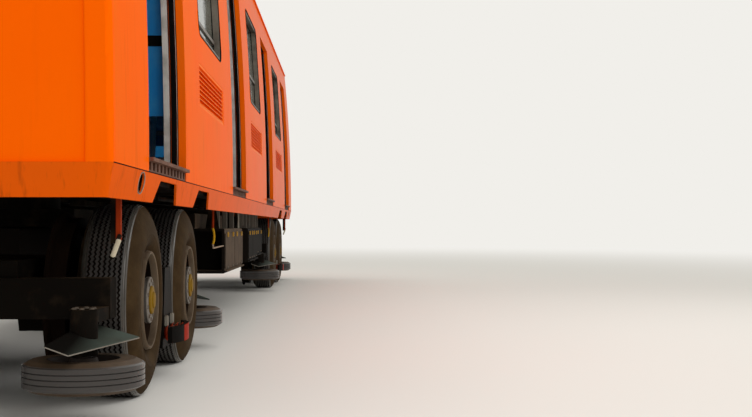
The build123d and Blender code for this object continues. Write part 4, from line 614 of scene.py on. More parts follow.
def brushed(name, colour, worn, stretch, rough=0.35, metal=1.0):
    """Metal brushed along one direction, with dull marks.

    The brush lines are drawn 1.5 mm apart, coarser than real, so that they show.
    """
    material, tree, surface = surfaced(name, Metallic=metal, Roughness=rough)
    place = add(tree, "ShaderNodeTexCoord")
    drawn = add(tree, "ShaderNodeMapping", {"Vector": place.outputs["Object"], "Scale": stretch})
    lines = add(tree, "ShaderNodeTexNoise", {"Vector": drawn.outputs[0], "Scale": 1 / BRUSH_M, "Detail": 2.0})
    marks = add(tree, "ShaderNodeTexNoise", {"Vector": place.outputs["Object"], "Scale": MARKS_PER_M,
                                             "Detail": 4.0})
    cover = add(tree, "ShaderNodeMapRange", {"Value": marks.outputs["Fac"], "From Min": 0.4,
                                             "From Max": 0.75})
    mixed = add(tree, "ShaderNodeMix", {"Factor": cover.outputs["Result"], "A": linear(colour),
                                        "B": linear(worn)}, data_type="RGBA")
    tree.links.new(mixed.outputs["Result"], surface.inputs["Base Color"])
    spread = add(tree, "ShaderNodeMapRange", {"Value": lines.outputs["Fac"], "To Min": rough - 0.1,
                                              "To Max": rough + 0.15})
    tree.links.new(spread.outputs["Result"], surface.inputs["Roughness"])
    bump = add(tree, "ShaderNodeBump", {"Height": lines.outputs["Fac"], "Distance": BRUSH_HEIGHT_M,
                                        "Strength": 0.5})
    tree.links.new(bump.outputs["Normal"], surface.inputs["Normal"])
    return material


def mirrored(side, reach):
    """A range of places on one side of the car's middle, in rising order."""
    return tuple(sorted(side * place for place in reach))


# Melamine board: a strong clean blue with a soft sheen, the one cool colour behind the orange.
melamine = moulded("blue_melamine_board", LINING_BLUE, LINING_SCUFF, LINING_GRAIN_M, 0.32)
dress(melamine, "linings")
# Brushed anodised trim: pale upright lines that draw the edge of each doorway.
trim_metal = brushed("brushed_anodised_trim", ANODISED, ANODISED_WORN, BRUSHED_UPRIGHT, 0.5, 0.7)
jambs = []
for centre in DOOR_CENTRES:
    for way in (-1, 1):
        jambs.append((centre + way * TRIM_REACH[0], centre + way * TRIM_REACH[1]))
edge_strips = wall_strips(jambs, TRIM_Z, *TRIM_DEPTH)
built("lining_edge_strips", [trim_metal], "root", "trim_metal", *edge_strips, ease=0.001)
# Bumper rubber: a matt black band that cuts the blue in two.
band_rubber = dusted_paint("black_bumper_rubber", BAND_BLACK, BAND_DUST, low=0.7, high=1.5, rough=0.6)
screen_bands = []
for centre in WINDOW_CENTRES:
    for way in (-1, 1):
        face = centre - way * SCREEN_FACE
        band_x = tuple(sorted((face - way * SCREEN_BAND_PROUD, face + way * BITE)))
        for side in (-1, 1):
            screen_bands.append((band_x, mirrored(side, SCREEN_BAND_Y), SCREEN_BAND_Z))
built("screen_bands", [band_rubber], "root", "tyre_rubber", *bars(screen_bands), ease=0.0015)

# Ceiling: satin white steel panels, screwed up side by side with shallow joints between them.
# Two rows of opal light covers are clipped under it.
CEILING_WHITE = "#D8D4CA"
CEILING_YELLOWED = "#B9B09C"
CEILING_GRAIN_M = 0.003
PANEL_PITCH_M = 1.05
PANEL_JOINT_M = 0.004
PANEL_JOINT_DEPTH_M = 0.003
LIGHT_X = (-6.9, -5.25, -3.15, -1.05, 1.05, 3.15, 5.25, 6.9)
LIGHT_HALF_LENGTH = 0.6
LIGHT_Y = 0.52
LIGHT_HALF_WIDTH = 0.075
LIGHT_Z = (3.267, 3.305)
OPAL = "#E4E2DA"

# Satin white paint, yellowed in clouds: it lifts the light inside the car without a shine.
ceiling_paint = moulded("satin_white_ceiling_paint", CEILING_WHITE, CEILING_YELLOWED, CEILING_GRAIN_M, 0.45)
raise_bands(ceiling_paint, "X", PANEL_PITCH_M, PANEL_JOINT_M, PANEL_JOINT_DEPTH_M)
dress(ceiling_paint, "ceiling")
# Opal acrylic: an even milky white with a soft gloss on its rounded edges. The lights are off.
opal, tree, surface = surfaced("opal_acrylic_light_cover", Base_Color=linear(OPAL), Roughness=0.3)
covers = []
for x in LIGHT_X:
    for side in (-1, 1):
        y = side * LIGHT_Y
        covers.append(((x - LIGHT_HALF_LENGTH, x + LIGHT_HALF_LENGTH),
                       (y - LIGHT_HALF_WIDTH, y + LIGHT_HALF_WIDTH), LIGHT_Z))
built("light_covers", [opal], "root", "ceiling_white", *bars(covers), ease=0.018)

# Windows: grey-tinted safety glass in bronze anodised frames, held by black rubber gaskets outside and in.
# The panes carry a film of dust in clouds.
GLASS_TINT = "#8FA09A"
GLASS_DUST = "#8F8A80"
FILM_CLOUDS_PER_M = 3.0
GASKET_BLACK = "#0F0E0D"
GASKET_DUST = "#3B342C"
FRAME_BRONZE = "#6E665B"
FRAME_WORN = "#4A423A"
WINDOW_HALF = 0.7
WINDOW_Z = (2.125, 3.065)
WINDOW_CORNER = 0.09
FRAME_WIDTH = 0.028
GASKET_DEPTHS = (0.001, 0.053)
GASKET_RADIUS = 0.005
CORNER_STEPS = 5


def round_cornered(across, up, radius):
    """Places of a closed round-cornered line, as (across, up)."""
    line = []
    middles = ((across[1] - radius, up[1] - radius, 0), (across[0] + radius, up[1] - radius, 90),
               (across[0] + radius, up[0] + radius, 180), (across[1] - radius, up[0] + radius, 270))
    for middle_across, middle_up, start in middles:
        for step in range(CORNER_STEPS + 1):
            angle = math.radians(start + 90 * step / CORNER_STEPS)
            line.append((middle_across + radius * math.cos(angle), middle_up + radius * math.sin(angle)))
    return line + line[:1]


def wall_ring(x, z, radius, depth, side):
    """Points of a closed round-cornered line that lies in the curved wall at a depth."""
    return [(along, side * wall_y(depth, height), height) for along, height in round_cornered(x, z, radius)]


# Grey safety glass: clear enough to see the blue through, with a grey-green cast and hazy dust.
glass, tree, surface = surfaced("grey_safety_glass", Base_Color=linear(GLASS_TINT), Roughness=0.03, IOR=1.45,
                                Transmission_Weight=0.88)
place = add(tree, "ShaderNodeTexCoord")
film = add(tree, "ShaderNodeTexNoise", {"Vector": place.outputs["Object"], "Scale": FILM_CLOUDS_PER_M,
                                        "Detail": 6.0, "Roughness": 0.65})
haze = add(tree, "ShaderNodeMapRange", {"Value": film.outputs["Fac"], "From Min": 0.4, "From Max": 0.8,
                                        "To Min": 0.02, "To Max": 0.3})
tree.links.new(haze.outputs["Result"], surface.inputs["Roughness"])
tinted = add(tree, "ShaderNodeMix", {"Factor": haze.outputs["Result"], "A": linear(GLASS_TINT),
                                     "B": linear(GLASS_DUST)}, data_type="RGBA")
tree.links.new(tinted.outputs["Result"], surface.inputs["Base Color"])
dress(glass, "window_glass")
# Bronze anodising: a dull grey-brown metal edge round each pane.
frame_metal = brushed("bronze_anodised_window_frame", FRAME_BRONZE, FRAME_WORN, BRUSHED_UPRIGHT, 0.4, 0.7)
dress(frame_metal, "window_frames")
# Gasket rubber: a thin black outline between the enamel and the glass.
gasket_rubber = dusted_paint("black_gasket_rubber", GASKET_BLACK, GASKET_DUST, low=0.7, high=1.5, rough=0.6)
outer = []
inner = []
for centre in WINDOW_CENTRES:
    for side in (-1, 1):
        hole = (centre - WINDOW_HALF, centre + WINDOW_HALF)
        sight = (centre - WINDOW_HALF + FRAME_WIDTH, centre + WINDOW_HALF - FRAME_WIDTH)
        sight_z = (WINDOW_Z[0] + FRAME_WIDTH, WINDOW_Z[1] - FRAME_WIDTH)
        outer.append(wall_ring(hole, WINDOW_Z, WINDOW_CORNER, GASKET_DEPTHS[0], side))
        inner.append(wall_ring(sight, sight_z, WINDOW_CORNER - FRAME_WIDTH, GASKET_DEPTHS[1], side))
built("window_gaskets", [gasket_rubber], "root", "tyre_rubber", *tubes(outer + inner, GASKET_RADIUS, 8))

# Door leaves: hollow enamelled leaves with a black rubber nose along the edge that meets the other leaf,
# an anodised strip behind it, and a pane held by a rubber seal. Each leaf's pieces slide with it.
LEAF_WIDTH = 0.7
LEAF_EDGE = 0.655
LEAF_DEPTH = (0.05, 0.086)
LEAF_Z = (1.219, 3.105)
NOSE_PROUD = 0.004
NOSE_REACH = 0.012
NOSE_SET_IN = 0.002
LEAF_STRIP_WIDTH = 0.03
LEAF_STRIP_PROUD = 0.0012
LEAF_STRIP_OVER_EDGE = 0.0006
LEAF_STRIP_SHORT = 0.004
LEAF_WINDOW_INSET = 0.075
LEAF_WINDOW_Z = (2.125, 3.005)
LEAF_WINDOW_RADIUS = 0.07
LEAF_GLASS_DEPTH = (0.064, 0.070)
PANE_BITE = 0.008
SEAL_RADIUS = 0.0045


def one_side(shape, side):
    """Only the points and faces of a shape that lie on one side of the car."""
    points, faces = shape
    kept = [number for number, point in enumerate(points) if point[1] * side > 0]
    order = {old: new for new, old in enumerate(kept)}
    kept_faces = [tuple(order[corner] for corner in face) for face in faces if face[0] in order]
    return [points[old] for old in kept], kept_faces


# Orange leaf enamel: the walls' orange with a little less dirt low down, where the doors are wiped.
leaf_enamel = enamel("orange_leaf_enamel", ENAMEL_ORANGE, ENAMEL_FADED, ENAMEL_DIRT, 0.5, 0.1)
for side, sided in ((-1, "right"), (1, "left")):
    for number, centre in enumerate(DOOR_CENTRES, 1):
        for way, letter in ((-1, "a"), (1, "b")):
            leaf = f"{sided}_{number}{letter}"
            body = f"leaf_{leaf}"
            edge = centre + way * LEAF_EDGE
            dress(leaf_enamel, body)
            nose = wall_strips([(edge - way * NOSE_PROUD, edge + way * NOSE_REACH)], LEAF_Z,
                               LEAF_DEPTH[0] + NOSE_SET_IN, LEAF_DEPTH[1] - NOSE_SET_IN)
            built(f"nose_{leaf}", [gasket_rubber], body, "tyre_rubber", *one_side(nose, side), ease=0.0025)
            strip = wall_strips([(edge - way * LEAF_STRIP_OVER_EDGE, edge + way * LEAF_STRIP_WIDTH)],
                                (LEAF_Z[0] + LEAF_STRIP_SHORT, LEAF_Z[1] - LEAF_STRIP_SHORT),
                                LEAF_DEPTH[0] - LEAF_STRIP_PROUD, LEAF_DEPTH[0] + BITE)
            built(f"strip_{leaf}", [trim_metal], body, "trim_metal", *one_side(strip, side))
            hole = sorted((edge + way * LEAF_WINDOW_INSET, edge + way * (LEAF_WIDTH - LEAF_WINDOW_INSET)))
            pane_z = (LEAF_WINDOW_Z[0] - PANE_BITE, LEAF_WINDOW_Z[1] + PANE_BITE)
            pane = wall_strips([(hole[0] - PANE_BITE, hole[1] + PANE_BITE)], pane_z, *LEAF_GLASS_DEPTH)
            built(f"pane_{leaf}", [glass], body, "glass", *one_side(pane, side))
            seals = [wall_ring(hole, LEAF_WINDOW_Z, LEAF_WINDOW_RADIUS, depth, side)
                     for depth in (LEAF_DEPTH[0] + BITE, LEAF_DEPTH[1] - BITE)]
            built(f"seals_{leaf}", [gasket_rubber], body, "tyre_rubber", *tubes(seals, SEAL_RADIUS, 6))

# Door sills: cast plates bolted on the sole under each doorway, with ribs along the doorway.
# The ribs are bump; feet rub them bright and leave brown dirt between them.
SILL_RIB = "#7C5A4B"
SILL_DIRT = "#2C1F18"
SILL_RIB_PITCH_M = 0.012
SILL_RIB_EDGE_M = 0.004
SILL_RIB_HEIGHT_M = 0.0015

# Cast sill metal: a warm rusty grey under dark dirt, the brown line at the foot of each doorway.
sill_metal = dusted_paint("trodden_cast_sill_metal", SILL_RIB, SILL_DIRT, low=0.35, high=1.1, rough=0.45)
raise_bands(sill_metal, "Y", SILL_RIB_PITCH_M, SILL_RIB_EDGE_M, SILL_RIB_HEIGHT_M)
dress(sill_metal, "door_sills")

# Seats: hard two-place shells moulded in blue plastic with an orange-peel skin and pale scuffs.
# Pedestals and grab poles are stainless tube, brushed along. Pressed flanges hold the poles at both ends.
SEAT_BLUE = "#0F5F94"
SEAT_SCUFF = "#3E7A92"
SEAT_GRAIN_M = 0.004
SEAT_GRAIN_HEIGHT_M = 0.0005
STAINLESS = "#C2C1BC"
STAINLESS_MARKED = "#8F8D88"
BRUSHED_ALONG_POLES = (1, 1, 0.04)
POLE_Y = 0.3127
POLE_RADIUS = 0.017
POLE_Z = (1.212, 3.305)
POLE_FROM_WINDOW = 1.32
FLANGE_RADIUS = 0.036
FLANGE_RISE = 0.012
FLANGE_STEPS = 20
FLANGE_OUTLINE = (
    # along the pole, radius
    (0.0, POLE_RADIUS - 0.002),
    (0.0, FLANGE_RADIUS),
    (FLANGE_RISE * 0.4, FLANGE_RADIUS),
    (FLANGE_RISE, POLE_RADIUS + 0.004),
    (FLANGE_RISE, POLE_RADIUS - 0.002),
)


def turned(centre, axis, profile, steps, wobble=0.0, teeth=0, waved=()):
    """Points and faces of a ring turned about an axis from its closed outline of (along, radius) places.

    Outline points named in waved swing to and fro along the axis, as tread grooves do.
    """
    points = []
    faces = []
    count = len(profile)
    other = [place for place in range(3) if place != axis]
    for step in range(steps):
        angle = 2 * math.pi * step / steps
        swing = wobble * (1 - 4 * abs((step * teeth / steps) % 1 - 0.5))
        for number, (along, radius) in enumerate(profile):
            point = list(centre)
            point[axis] += along + (swing if number in waved else 0)
            point[other[0]] += radius * math.cos(angle)
            point[other[1]] += radius * math.sin(angle)
            points.append(tuple(point))
        after = (step + 1) % steps
        for number in range(count):
            following = (number + 1) % count
            faces.append((step * count + number, after * count + number, after * count + following,
                          step * count + following))
    return points, faces


def joined(shapes):
    """The points and faces of several shapes as one."""
    points = []
    faces = []
    for more, others in shapes:
        start = len(points)
        points += more
        faces += [tuple(start + corner for corner in face) for face in others]
    return points, faces


# Moulded seat plastic: a deeper, glossier blue than the boards, broken by the orange-peel skin.
seat_plastic = moulded("moulded_seat_plastic", SEAT_BLUE, SEAT_SCUFF, SEAT_GRAIN_M, 0.3, SEAT_GRAIN_HEIGHT_M)
dress(seat_plastic, "seats")
# Brushed stainless tube: bright upright lines with soft streaks along them.
tube_steel = brushed("brushed_stainless_tube", STAINLESS, STAINLESS_MARKED, BRUSHED_ALONG_POLES, 0.28)
dress(tube_steel, "seat_legs_and_poles")
flanges = []
hanging = [(-along, radius) for along, radius in FLANGE_OUTLINE]
for centre in WINDOW_CENTRES:
    for way in (-1, 1):
        x = centre + way * POLE_FROM_WINDOW
        for side in (-1, 1):
            flanges.append(turned((x, side * POLE_Y, POLE_Z[0]), 2, FLANGE_OUTLINE, FLANGE_STEPS))
            flanges.append(turned((x, side * POLE_Y, POLE_Z[1]), 2, hanging, FLANGE_STEPS))
built("pole_flanges", [tube_steel], "root", "tube_steel", *joined(flanges))

# Equipment boxes: folded and welded sheet boxes that gussets carry from the rails between the bogies.
# Their doors have over-centre catches above and hinges below, and rivets hold the lids.
# A cable trunking lies on the boxes of each side, and hoses with screwed unions feed their ends.
BOX_GREY = "#4A3E34"
BOX_DUST = "#6B5A48"
# Near-black for the boxes ahead on the right and for painted shade on box ends and inner faces.
BOX_BLACK_AND_PAINTED_SHADE = "#1A1613"
BOX_SHADED_END_FACING = 0.7
BOX_SHADED_INNER_FACING = -0.3
BRACKET_GREY = "#777067"
CATCH_YELLOW = "#B98E3A"
TANK_BLACK = "#1E1B18"
BOXES = (
    # x range, side, outer y, z range, doors
    ((-2.2, -0.45), -1, 1.125, (0.475, 0.865), 2),
    ((0.3, 1.5), -1, 1.125, (0.495, 0.865), 2),
    ((1.75, 2.7), -1, 1.1, (0.525, 0.865), 1),
    ((-2.5, -0.9), 1, 1.125, (0.475, 0.865), 3),
    ((-0.6, 0.7), 1, 1.125, (0.495, 0.865), 2),
    ((1.0, 2.4), 1, 1.125, (0.515, 0.865), 2),
)
DOOR_PROUD = 0.008
CATCH_SHARES = (0.22, 0.78)
CATCH_HALF = (0.016, 0.022)
CATCH_PROUD = 0.012
CATCH_DROP = 0.03
HINGE_RADIUS = 0.007
HINGE_HALF = 0.04
HINGE_PROUD = 0.002
HINGE_RISE = 0.05
RIVET_PITCH = 0.11
RIVET_INSET = 0.02
RIVET_FROM_EDGE = 0.03
RIVET_LIFT = 0.001
RIVET_RADIUS = 0.006
RIVET_HEIGHT = 0.004
RIVET_SIDES = 8
GUSSET_SHARES = (0.12, 0.5, 0.88)
GUSSET_HALF = 0.028
GUSSET_Y = 1.06
GUSSET_THICK = 0.045
GUSSET_BITE = 0.0005
RAIL_Z = 1.057
TRUNK_X = (-2.45, 2.4)
TRUNK_Y = (0.72, 0.9)
TRUNK_Z = (0.8655, 0.995)
HOSE_ENDS = (
    # x of the box's end, side
    (0.3, -1),
    (1.75, -1),
    (-0.6, 1),
    (1.0, 1),
)
HOSE_Y = 1.035
HOSE_RUN = (
    # ahead of the box's end, z
    (-0.155, 1.057),
    (-0.165, 0.985),
    (-0.162, 0.905),
    (-0.14, 0.838),
    (-0.1, 0.795),
    (-0.05, 0.776),
    (0.002, 0.775),
)
HOSE_RADIUS = 0.0095
HOSE_PALE = "#B0A99B"
UNION_LENGTH = 0.055
UNION_RADIUS = 0.017
UNION_RED = "#8C2415"

# Dull box paint: brown-grey under dust. The boxes ahead on the right are coloured near-black, and all ends
# and inner faces carry painted shade in near-black, so only the doors and lids stand out.
box_paint = dusted_paint("dull_equipment_box_paint_and_painted_shade", BOX_GREY, BOX_DUST, low=0.45, high=1.2, rough=0.55)
tree, surface = shader_of(box_paint)
place = add(tree, "ShaderNodeTexCoord")
split = add(tree, "ShaderNodeSeparateXYZ", {0: place.outputs["Object"]})
# The boxes ahead on the right are coloured near-black.
ahead = add(tree, "ShaderNodeMath", {0: split.outputs["X"], 1: 0.0}, operation="GREATER_THAN")
right = add(tree, "ShaderNodeMath", {0: split.outputs["Y"], 1: 0.0}, operation="LESS_THAN")
dark_ahead_right = add(tree, "ShaderNodeMath", {0: ahead.outputs[0], 1: right.outputs[0]}, operation="MULTIPLY")
# Painted shade: box faces that turn endwise and box faces that turn inwards are coloured near-black.
normal = add(tree, "ShaderNodeNewGeometry")
facing = add(tree, "ShaderNodeSeparateXYZ", {0: normal.outputs["Normal"]})
endwise = add(tree, "ShaderNodeMath", {0: facing.outputs["X"]}, operation="ABSOLUTE")
shaded_end_face = add(tree, "ShaderNodeMath", {0: endwise.outputs[0], 1: BOX_SHADED_END_FACING}, operation="GREATER_THAN")
inward = add(tree, "ShaderNodeMath", {0: facing.outputs["Y"], 1: split.outputs["Y"]}, operation="MULTIPLY")
shaded_inner_face = add(tree, "ShaderNodeMath", {0: inward.outputs[0], 1: BOX_SHADED_INNER_FACING}, operation="LESS_THAN")
black = add(tree, "ShaderNodeMath", {0: dark_ahead_right.outputs[0], 1: shaded_end_face.outputs[0]}, operation="MAXIMUM")
black = add(tree, "ShaderNodeMath", {0: black.outputs[0], 1: shaded_inner_face.outputs[0]}, operation="MAXIMUM")
dusty = surface.inputs["Base Color"].links[0].from_socket
both = add(tree, "ShaderNodeMix", {"Factor": black.outputs[0], "A": dusty, "B": linear(BOX_BLACK_AND_PAINTED_SHADE)},
           data_type="RGBA")
tree.links.new(both.outputs["Result"], surface.inputs["Base Color"])
dress(box_paint, "equipment_boxes")
# Chalky bracket paint: pale grey uprights that show how the boxes hang.
bracket_paint = dusted_paint("chalky_grey_bracket_paint", BRACKET_GREY, low=0.6, high=1.5)
# Yellow passivated plating: a row of small warm spots along the top of each door.
catch_plate = dusted_paint("yellow_passivated_catch_plating", CATCH_YELLOW, low=0.6, high=1.4, rough=0.4)
# Braided hose: a thin pale curve in front of the black box ends.
hose_rubber = dusted_paint("pale_braided_hose", HOSE_PALE, low=0.7, high=1.6)
# Red union enamel: a dull red dot where each hose meets its box.
union_enamel = dusted_paint("red_enamelled_hose_union", UNION_RED, low=0.7, high=1.6, rough=0.45)
# Tank paint: near-black, so the tanks stay back in the shade under the floor.
tank_paint = dusted_paint("dull_air_tank_paint", TANK_BLACK, low=0.5, high=1.3, rough=0.5)
dress(tank_paint, "air_tanks")
catches = []
hinges = []
rivets = []
gussets = []
for x, side, y, z, doors in BOXES:
    width = (x[1] - x[0]) / doors
    face = y + DOOR_PROUD
    for door in range(doors):
        for share in CATCH_SHARES:
            at = x[0] + width * (door + share)
            catches.append(((at - CATCH_HALF[0], at + CATCH_HALF[0]),
                            mirrored(side, (face - BITE, face + CATCH_PROUD)),
                            (z[1] - CATCH_DROP - 2 * CATCH_HALF[1], z[1] - CATCH_DROP)))
            hinge_y = side * (face + HINGE_PROUD)
            hinges.append([(at - HINGE_HALF, hinge_y, z[0] + HINGE_RISE),
                           (at + HINGE_HALF, hinge_y, z[0] + HINGE_RISE)])
    count = round((x[1] - x[0]) / RIVET_PITCH)
    for number in range(count + 1):
        at = x[0] + RIVET_INSET + (x[1] - x[0] - 2 * RIVET_INSET) * number / count
        rivets.append(((at, side * (y - RIVET_FROM_EDGE), z[1] + RIVET_LIFT), (0, 0, 1)))
    for share in GUSSET_SHARES:
        at = x[0] + (x[1] - x[0]) * share
        gussets.append(((at - GUSSET_HALF, at + GUSSET_HALF),
                        mirrored(side, (GUSSET_Y - GUSSET_THICK, GUSSET_Y)), (z[1] - GUSSET_BITE, RAIL_Z)))
trunks = [(TRUNK_X, mirrored(side, TRUNK_Y), TRUNK_Z) for side in (-1, 1)]
hoses = []
unions = []
for end_x, side in HOSE_ENDS:
    y = side * HOSE_Y
    foot_z = HOSE_RUN[-1][1]
    hoses.append([(end_x + x, y, z) for x, z in HOSE_RUN])
    unions.append([(end_x - UNION_LENGTH, y, foot_z), (end_x + BITE, y, foot_z)])
built("box_gussets", [bracket_paint], "root", "box_paint", *bars(gussets), ease=0.004)
built("cable_trunking", [box_paint], "root", "box_paint", *bars(trunks), ease=0.006)
built("box_catches", [catch_plate], "root", "box_paint", *bars(catches), ease=0.003)
built("box_hinges", [zinc], "root", "box_paint", *tubes(hinges, HINGE_RADIUS, 8))
built("box_hoses", [hose_rubber], "root", "tyre_rubber", *tubes(hoses, HOSE_RADIUS, 10))
built("hose_unions", [union_enamel], "root", "box_paint", *tubes(unions, UNION_RADIUS, 12), ease=0.002)
fasteners("box_rivets", rivets, RIVET_RADIUS, RIVET_HEIGHT, zinc, "root", RIVET_SIDES)

# Bogies: heavy frames of welded steel beams, with caps bolted over the guide wheel pins at their corners.
# Pressed guard sheets are screwed on over the guide wheels. Between the tyres hangs the collector gear,
# a plate arm with a sprung shoe, which lies in the same CAD nodes as the sheets.
BOGIE_BLACK = "#161310"
BOGIE_X = 5.5
AXLE_X = 0.78
GUIDE_X = 1.69
GUIDE_Y = 1.0
BOSS_TOP_Z = 0.515
BOSS_BOLT_RING = 0.045
BOSS_BOLTS = 6
BOLT_LIFT = 0.003
BOLT_RADIUS = 0.009
BOLT_HEIGHT = 0.01
GUARD_CORNERS = (
    # towards the bogie's middle, outwards
    (0.24, 0.205),
    (-0.35, 0.01),
    (-0.35, -0.09),
    (0.18, -0.02),
)
GUARD_Z = 0.402
GUARD_SLOPE = (0.158, -0.373)
GUARD_EDGE_RADIUS = 0.003
# A painted highlight on the guard sheets' edges.
GUARD_EDGE_HIGHLIGHT = "#8C867D"
GUARD_GREEN = "#4C564F"
GUARD_DIRT = "#3A3128"
GEAR_BLACK_AND_SHEET_SHADE = "#141210"
GEAR_REACH = 0.7
# Across the car, the guard sheets turn from painted shade to the lit grey-green over this range.
GUARD_SHADE_Y = (0.99, 1.12)
SHOE_RED = "#96230F"
SHOE_FACE_Y = 1.236
SHOE_BLOCK_HALF = 0.15


def bolt_circle(count, radius, start=0.0):
    """Where bolts stand round a circle, as (across, up), the first one a share of their pitch on."""
    angles = [2 * math.pi * (number + start) / count for number in range(count)]
    return [(radius * math.cos(angle), radius * math.sin(angle)) for angle in angles]


# Oily black paint: a deep black that only its dust and its edges lift out of the shade.
bogie_paint = dusted_paint("oily_black_bogie_paint", BOGIE_BLACK, low=0.6, high=1.5, rough=0.5)
dress(bogie_paint, "bogie_frame_a", "bogie_frame_b")
# Hammer-finish sheet paint: a smooth grey-green at the sides that turns into painted shade further in.
# The collector gear is black with grease all over, and a red block shows in the middle of its shoe.
guard_paint = dusted_paint("grey_green_hammer_finish_sheet", GUARD_GREEN, GUARD_DIRT, low=0.75, high=1.7,
                           rough=0.35)
tree, surface = shader_of(guard_paint)
place = add(tree, "ShaderNodeTexCoord")
split = add(tree, "ShaderNodeSeparateXYZ", {0: place.outputs["Object"]})
along = add(tree, "ShaderNodeMath", {0: split.outputs["X"]}, operation="ABSOLUTE")
along = add(tree, "ShaderNodeMath", {0: along.outputs[0], 1: BOGIE_X}, operation="SUBTRACT")
along = add(tree, "ShaderNodeMath", {0: along.outputs[0]}, operation="ABSOLUTE")
guarding = add(tree, "ShaderNodeMath", {0: along.outputs[0], 1: GEAR_REACH}, operation="GREATER_THAN")
across = add(tree, "ShaderNodeMath", {0: split.outputs["Y"]}, operation="ABSOLUTE")
on_face = add(tree, "ShaderNodeMath", {0: across.outputs[0], 1: SHOE_FACE_Y}, operation="GREATER_THAN")
in_middle = add(tree, "ShaderNodeMath", {0: along.outputs[0], 1: SHOE_BLOCK_HALF}, operation="LESS_THAN")
block = add(tree, "ShaderNodeMath", {0: on_face.outputs[0], 1: in_middle.outputs[0]}, operation="MULTIPLY")
gear = add(tree, "ShaderNodeMix", {"Factor": block.outputs[0], "A": linear(GEAR_BLACK_AND_SHEET_SHADE),
                                   "B": linear(SHOE_RED)}, data_type="RGBA")
# Painted shade: the sheets go near-black inwards and keep the lit grey-green only at their outer side.
lit_outwards = add(tree, "ShaderNodeMapRange", {"Value": across.outputs[0], "From Min": GUARD_SHADE_Y[0],
                                         "From Max": GUARD_SHADE_Y[1]})
painted = surface.inputs["Base Color"].links[0].from_socket
sheet = add(tree, "ShaderNodeMix", {"Factor": lit_outwards.outputs["Result"], "A": linear(GEAR_BLACK_AND_SHEET_SHADE),
                                    "B": painted}, data_type="RGBA")
both = add(tree, "ShaderNodeMix", {"Factor": guarding.outputs[0], "A": gear.outputs["Result"],
                                   "B": sheet.outputs["Result"]}, data_type="RGBA")
tree.links.new(both.outputs["Result"], surface.inputs["Base Color"])
dress(guard_paint, "bogie_fittings_a", "bogie_fittings_b")
# Painted highlight: a bright grey line on the guard sheets' edges that shows how thin the sheets are.
edge_highlight_paint = dusted_paint("painted_highlight_sheet_edge", GUARD_EDGE_HIGHLIGHT, low=0.6, high=1.5, rough=0.35)
for end, letter in ((-1, "a"), (1, "b")):
    body = f"bogie_{letter}"
    bolts = []
    edges = []
    for way in (-1, 1):
        for side in (-1, 1):
            x = end * BOGIE_X + way * GUIDE_X
            y = side * GUIDE_Y
            for across, up in bolt_circle(BOSS_BOLTS, BOSS_BOLT_RING):
                bolts.append(((x + across, y + up, BOSS_TOP_Z + BOLT_LIFT), (0, 0, 1)))
            corners = [(x - way * inwards, y + side * outwards,
                        GUARD_Z + GUARD_SLOPE[0] * inwards + GUARD_SLOPE[1] * outwards)
                       for inwards, outwards in GUARD_CORNERS]
            edges.append(corners[:2])
            edges.append(corners[1:3])
    fasteners(f"bogie_bolts_{letter}", bolts, BOLT_RADIUS, BOLT_HEIGHT, zinc, body)
    built(f"guard_edge_highlights_{letter}", [edge_highlight_paint], body, "bogie_paint", *tubes(edges, GUARD_EDGE_RADIUS, 6))

# Collector gear: insulators of cast resin between the arm plate and the shoe, with weather sheds round them.
# Cast metal clamps hold them to the arm plate.
INSULATOR_RED = "#8E2A16"
INSULATOR_DIRT = "#5B3A2A"
INSULATOR_X = 0.105
INSULATOR_Z = 0.267
INSULATOR_Y = (1.126, 1.214)
INSULATOR_CORE = 0.02
INSULATOR_STEPS = 28
SHED_RADIUS = 0.0445
WAIST_RADIUS = 0.034
SHEDS = 3
SHED_SHARES = (0.35, 0.6, 0.75)
CLAMP_GREY = "#8D877C"
CLAMP_HALF = 0.03
CLAMP_Y = (1.123, 1.142)
CLAMP_RISE = (0.04, 0.1)


def outward_ring(x, y, z, side, outline, steps):
    """A ring round a line across the car, from an outline of (outwards from y, radius) places on one side."""
    return turned((x, side * y, z), 1, [(side * along, radius) for along, radius in outline], steps)


# Cast resin: glossy dark red rings, one of the few bright colours low on the bogie.
resin = dusted_paint("red_cast_resin", INSULATOR_RED, INSULATOR_DIRT, low=0.6, high=1.4, rough=0.3)
# Cast clamp metal: dull pale grey under dust, to set the red off.
clamp_metal = dusted_paint("grey_cast_clamp_metal", CLAMP_GREY, low=0.5, high=1.3, rough=0.45)
sheds = []
length = INSULATOR_Y[1] - INSULATOR_Y[0]
pitch = length / SHEDS
for number in range(SHEDS):
    start = INSULATOR_Y[0] + length * number / SHEDS
    sheds.append((start, WAIST_RADIUS))
    sheds.append((start + pitch * SHED_SHARES[0], SHED_RADIUS))
    sheds.append((start + pitch * SHED_SHARES[1], SHED_RADIUS))
    sheds.append((start + pitch * SHED_SHARES[2], WAIST_RADIUS))
sheds.append((INSULATOR_Y[1], WAIST_RADIUS))
sheds.append((INSULATOR_Y[1], INSULATOR_CORE))
sheds.append((INSULATOR_Y[0], INSULATOR_CORE))
clamp_z = (INSULATOR_Z + CLAMP_RISE[0], INSULATOR_Z + CLAMP_RISE[1])
for end, letter in ((-1, "a"), (1, "b")):
    insulators = []
    clamps = []
    for side in (-1, 1):
        for way in (-1, 1):
            x = end * BOGIE_X + way * INSULATOR_X
            insulators.append(outward_ring(x, 0, INSULATOR_Z, side, sheds, INSULATOR_STEPS))
            clamps.append(((x - CLAMP_HALF, x + CLAMP_HALF), mirrored(side, CLAMP_Y), clamp_z))
    built(f"insulators_{letter}", [resin], f"bogie_{letter}", "shoe_gear", *joined(insulators))
    built(f"insulator_clamps_{letter}", [clamp_metal], f"bogie_{letter}", "shoe_gear", *bars(clamps),
          ease=0.004)
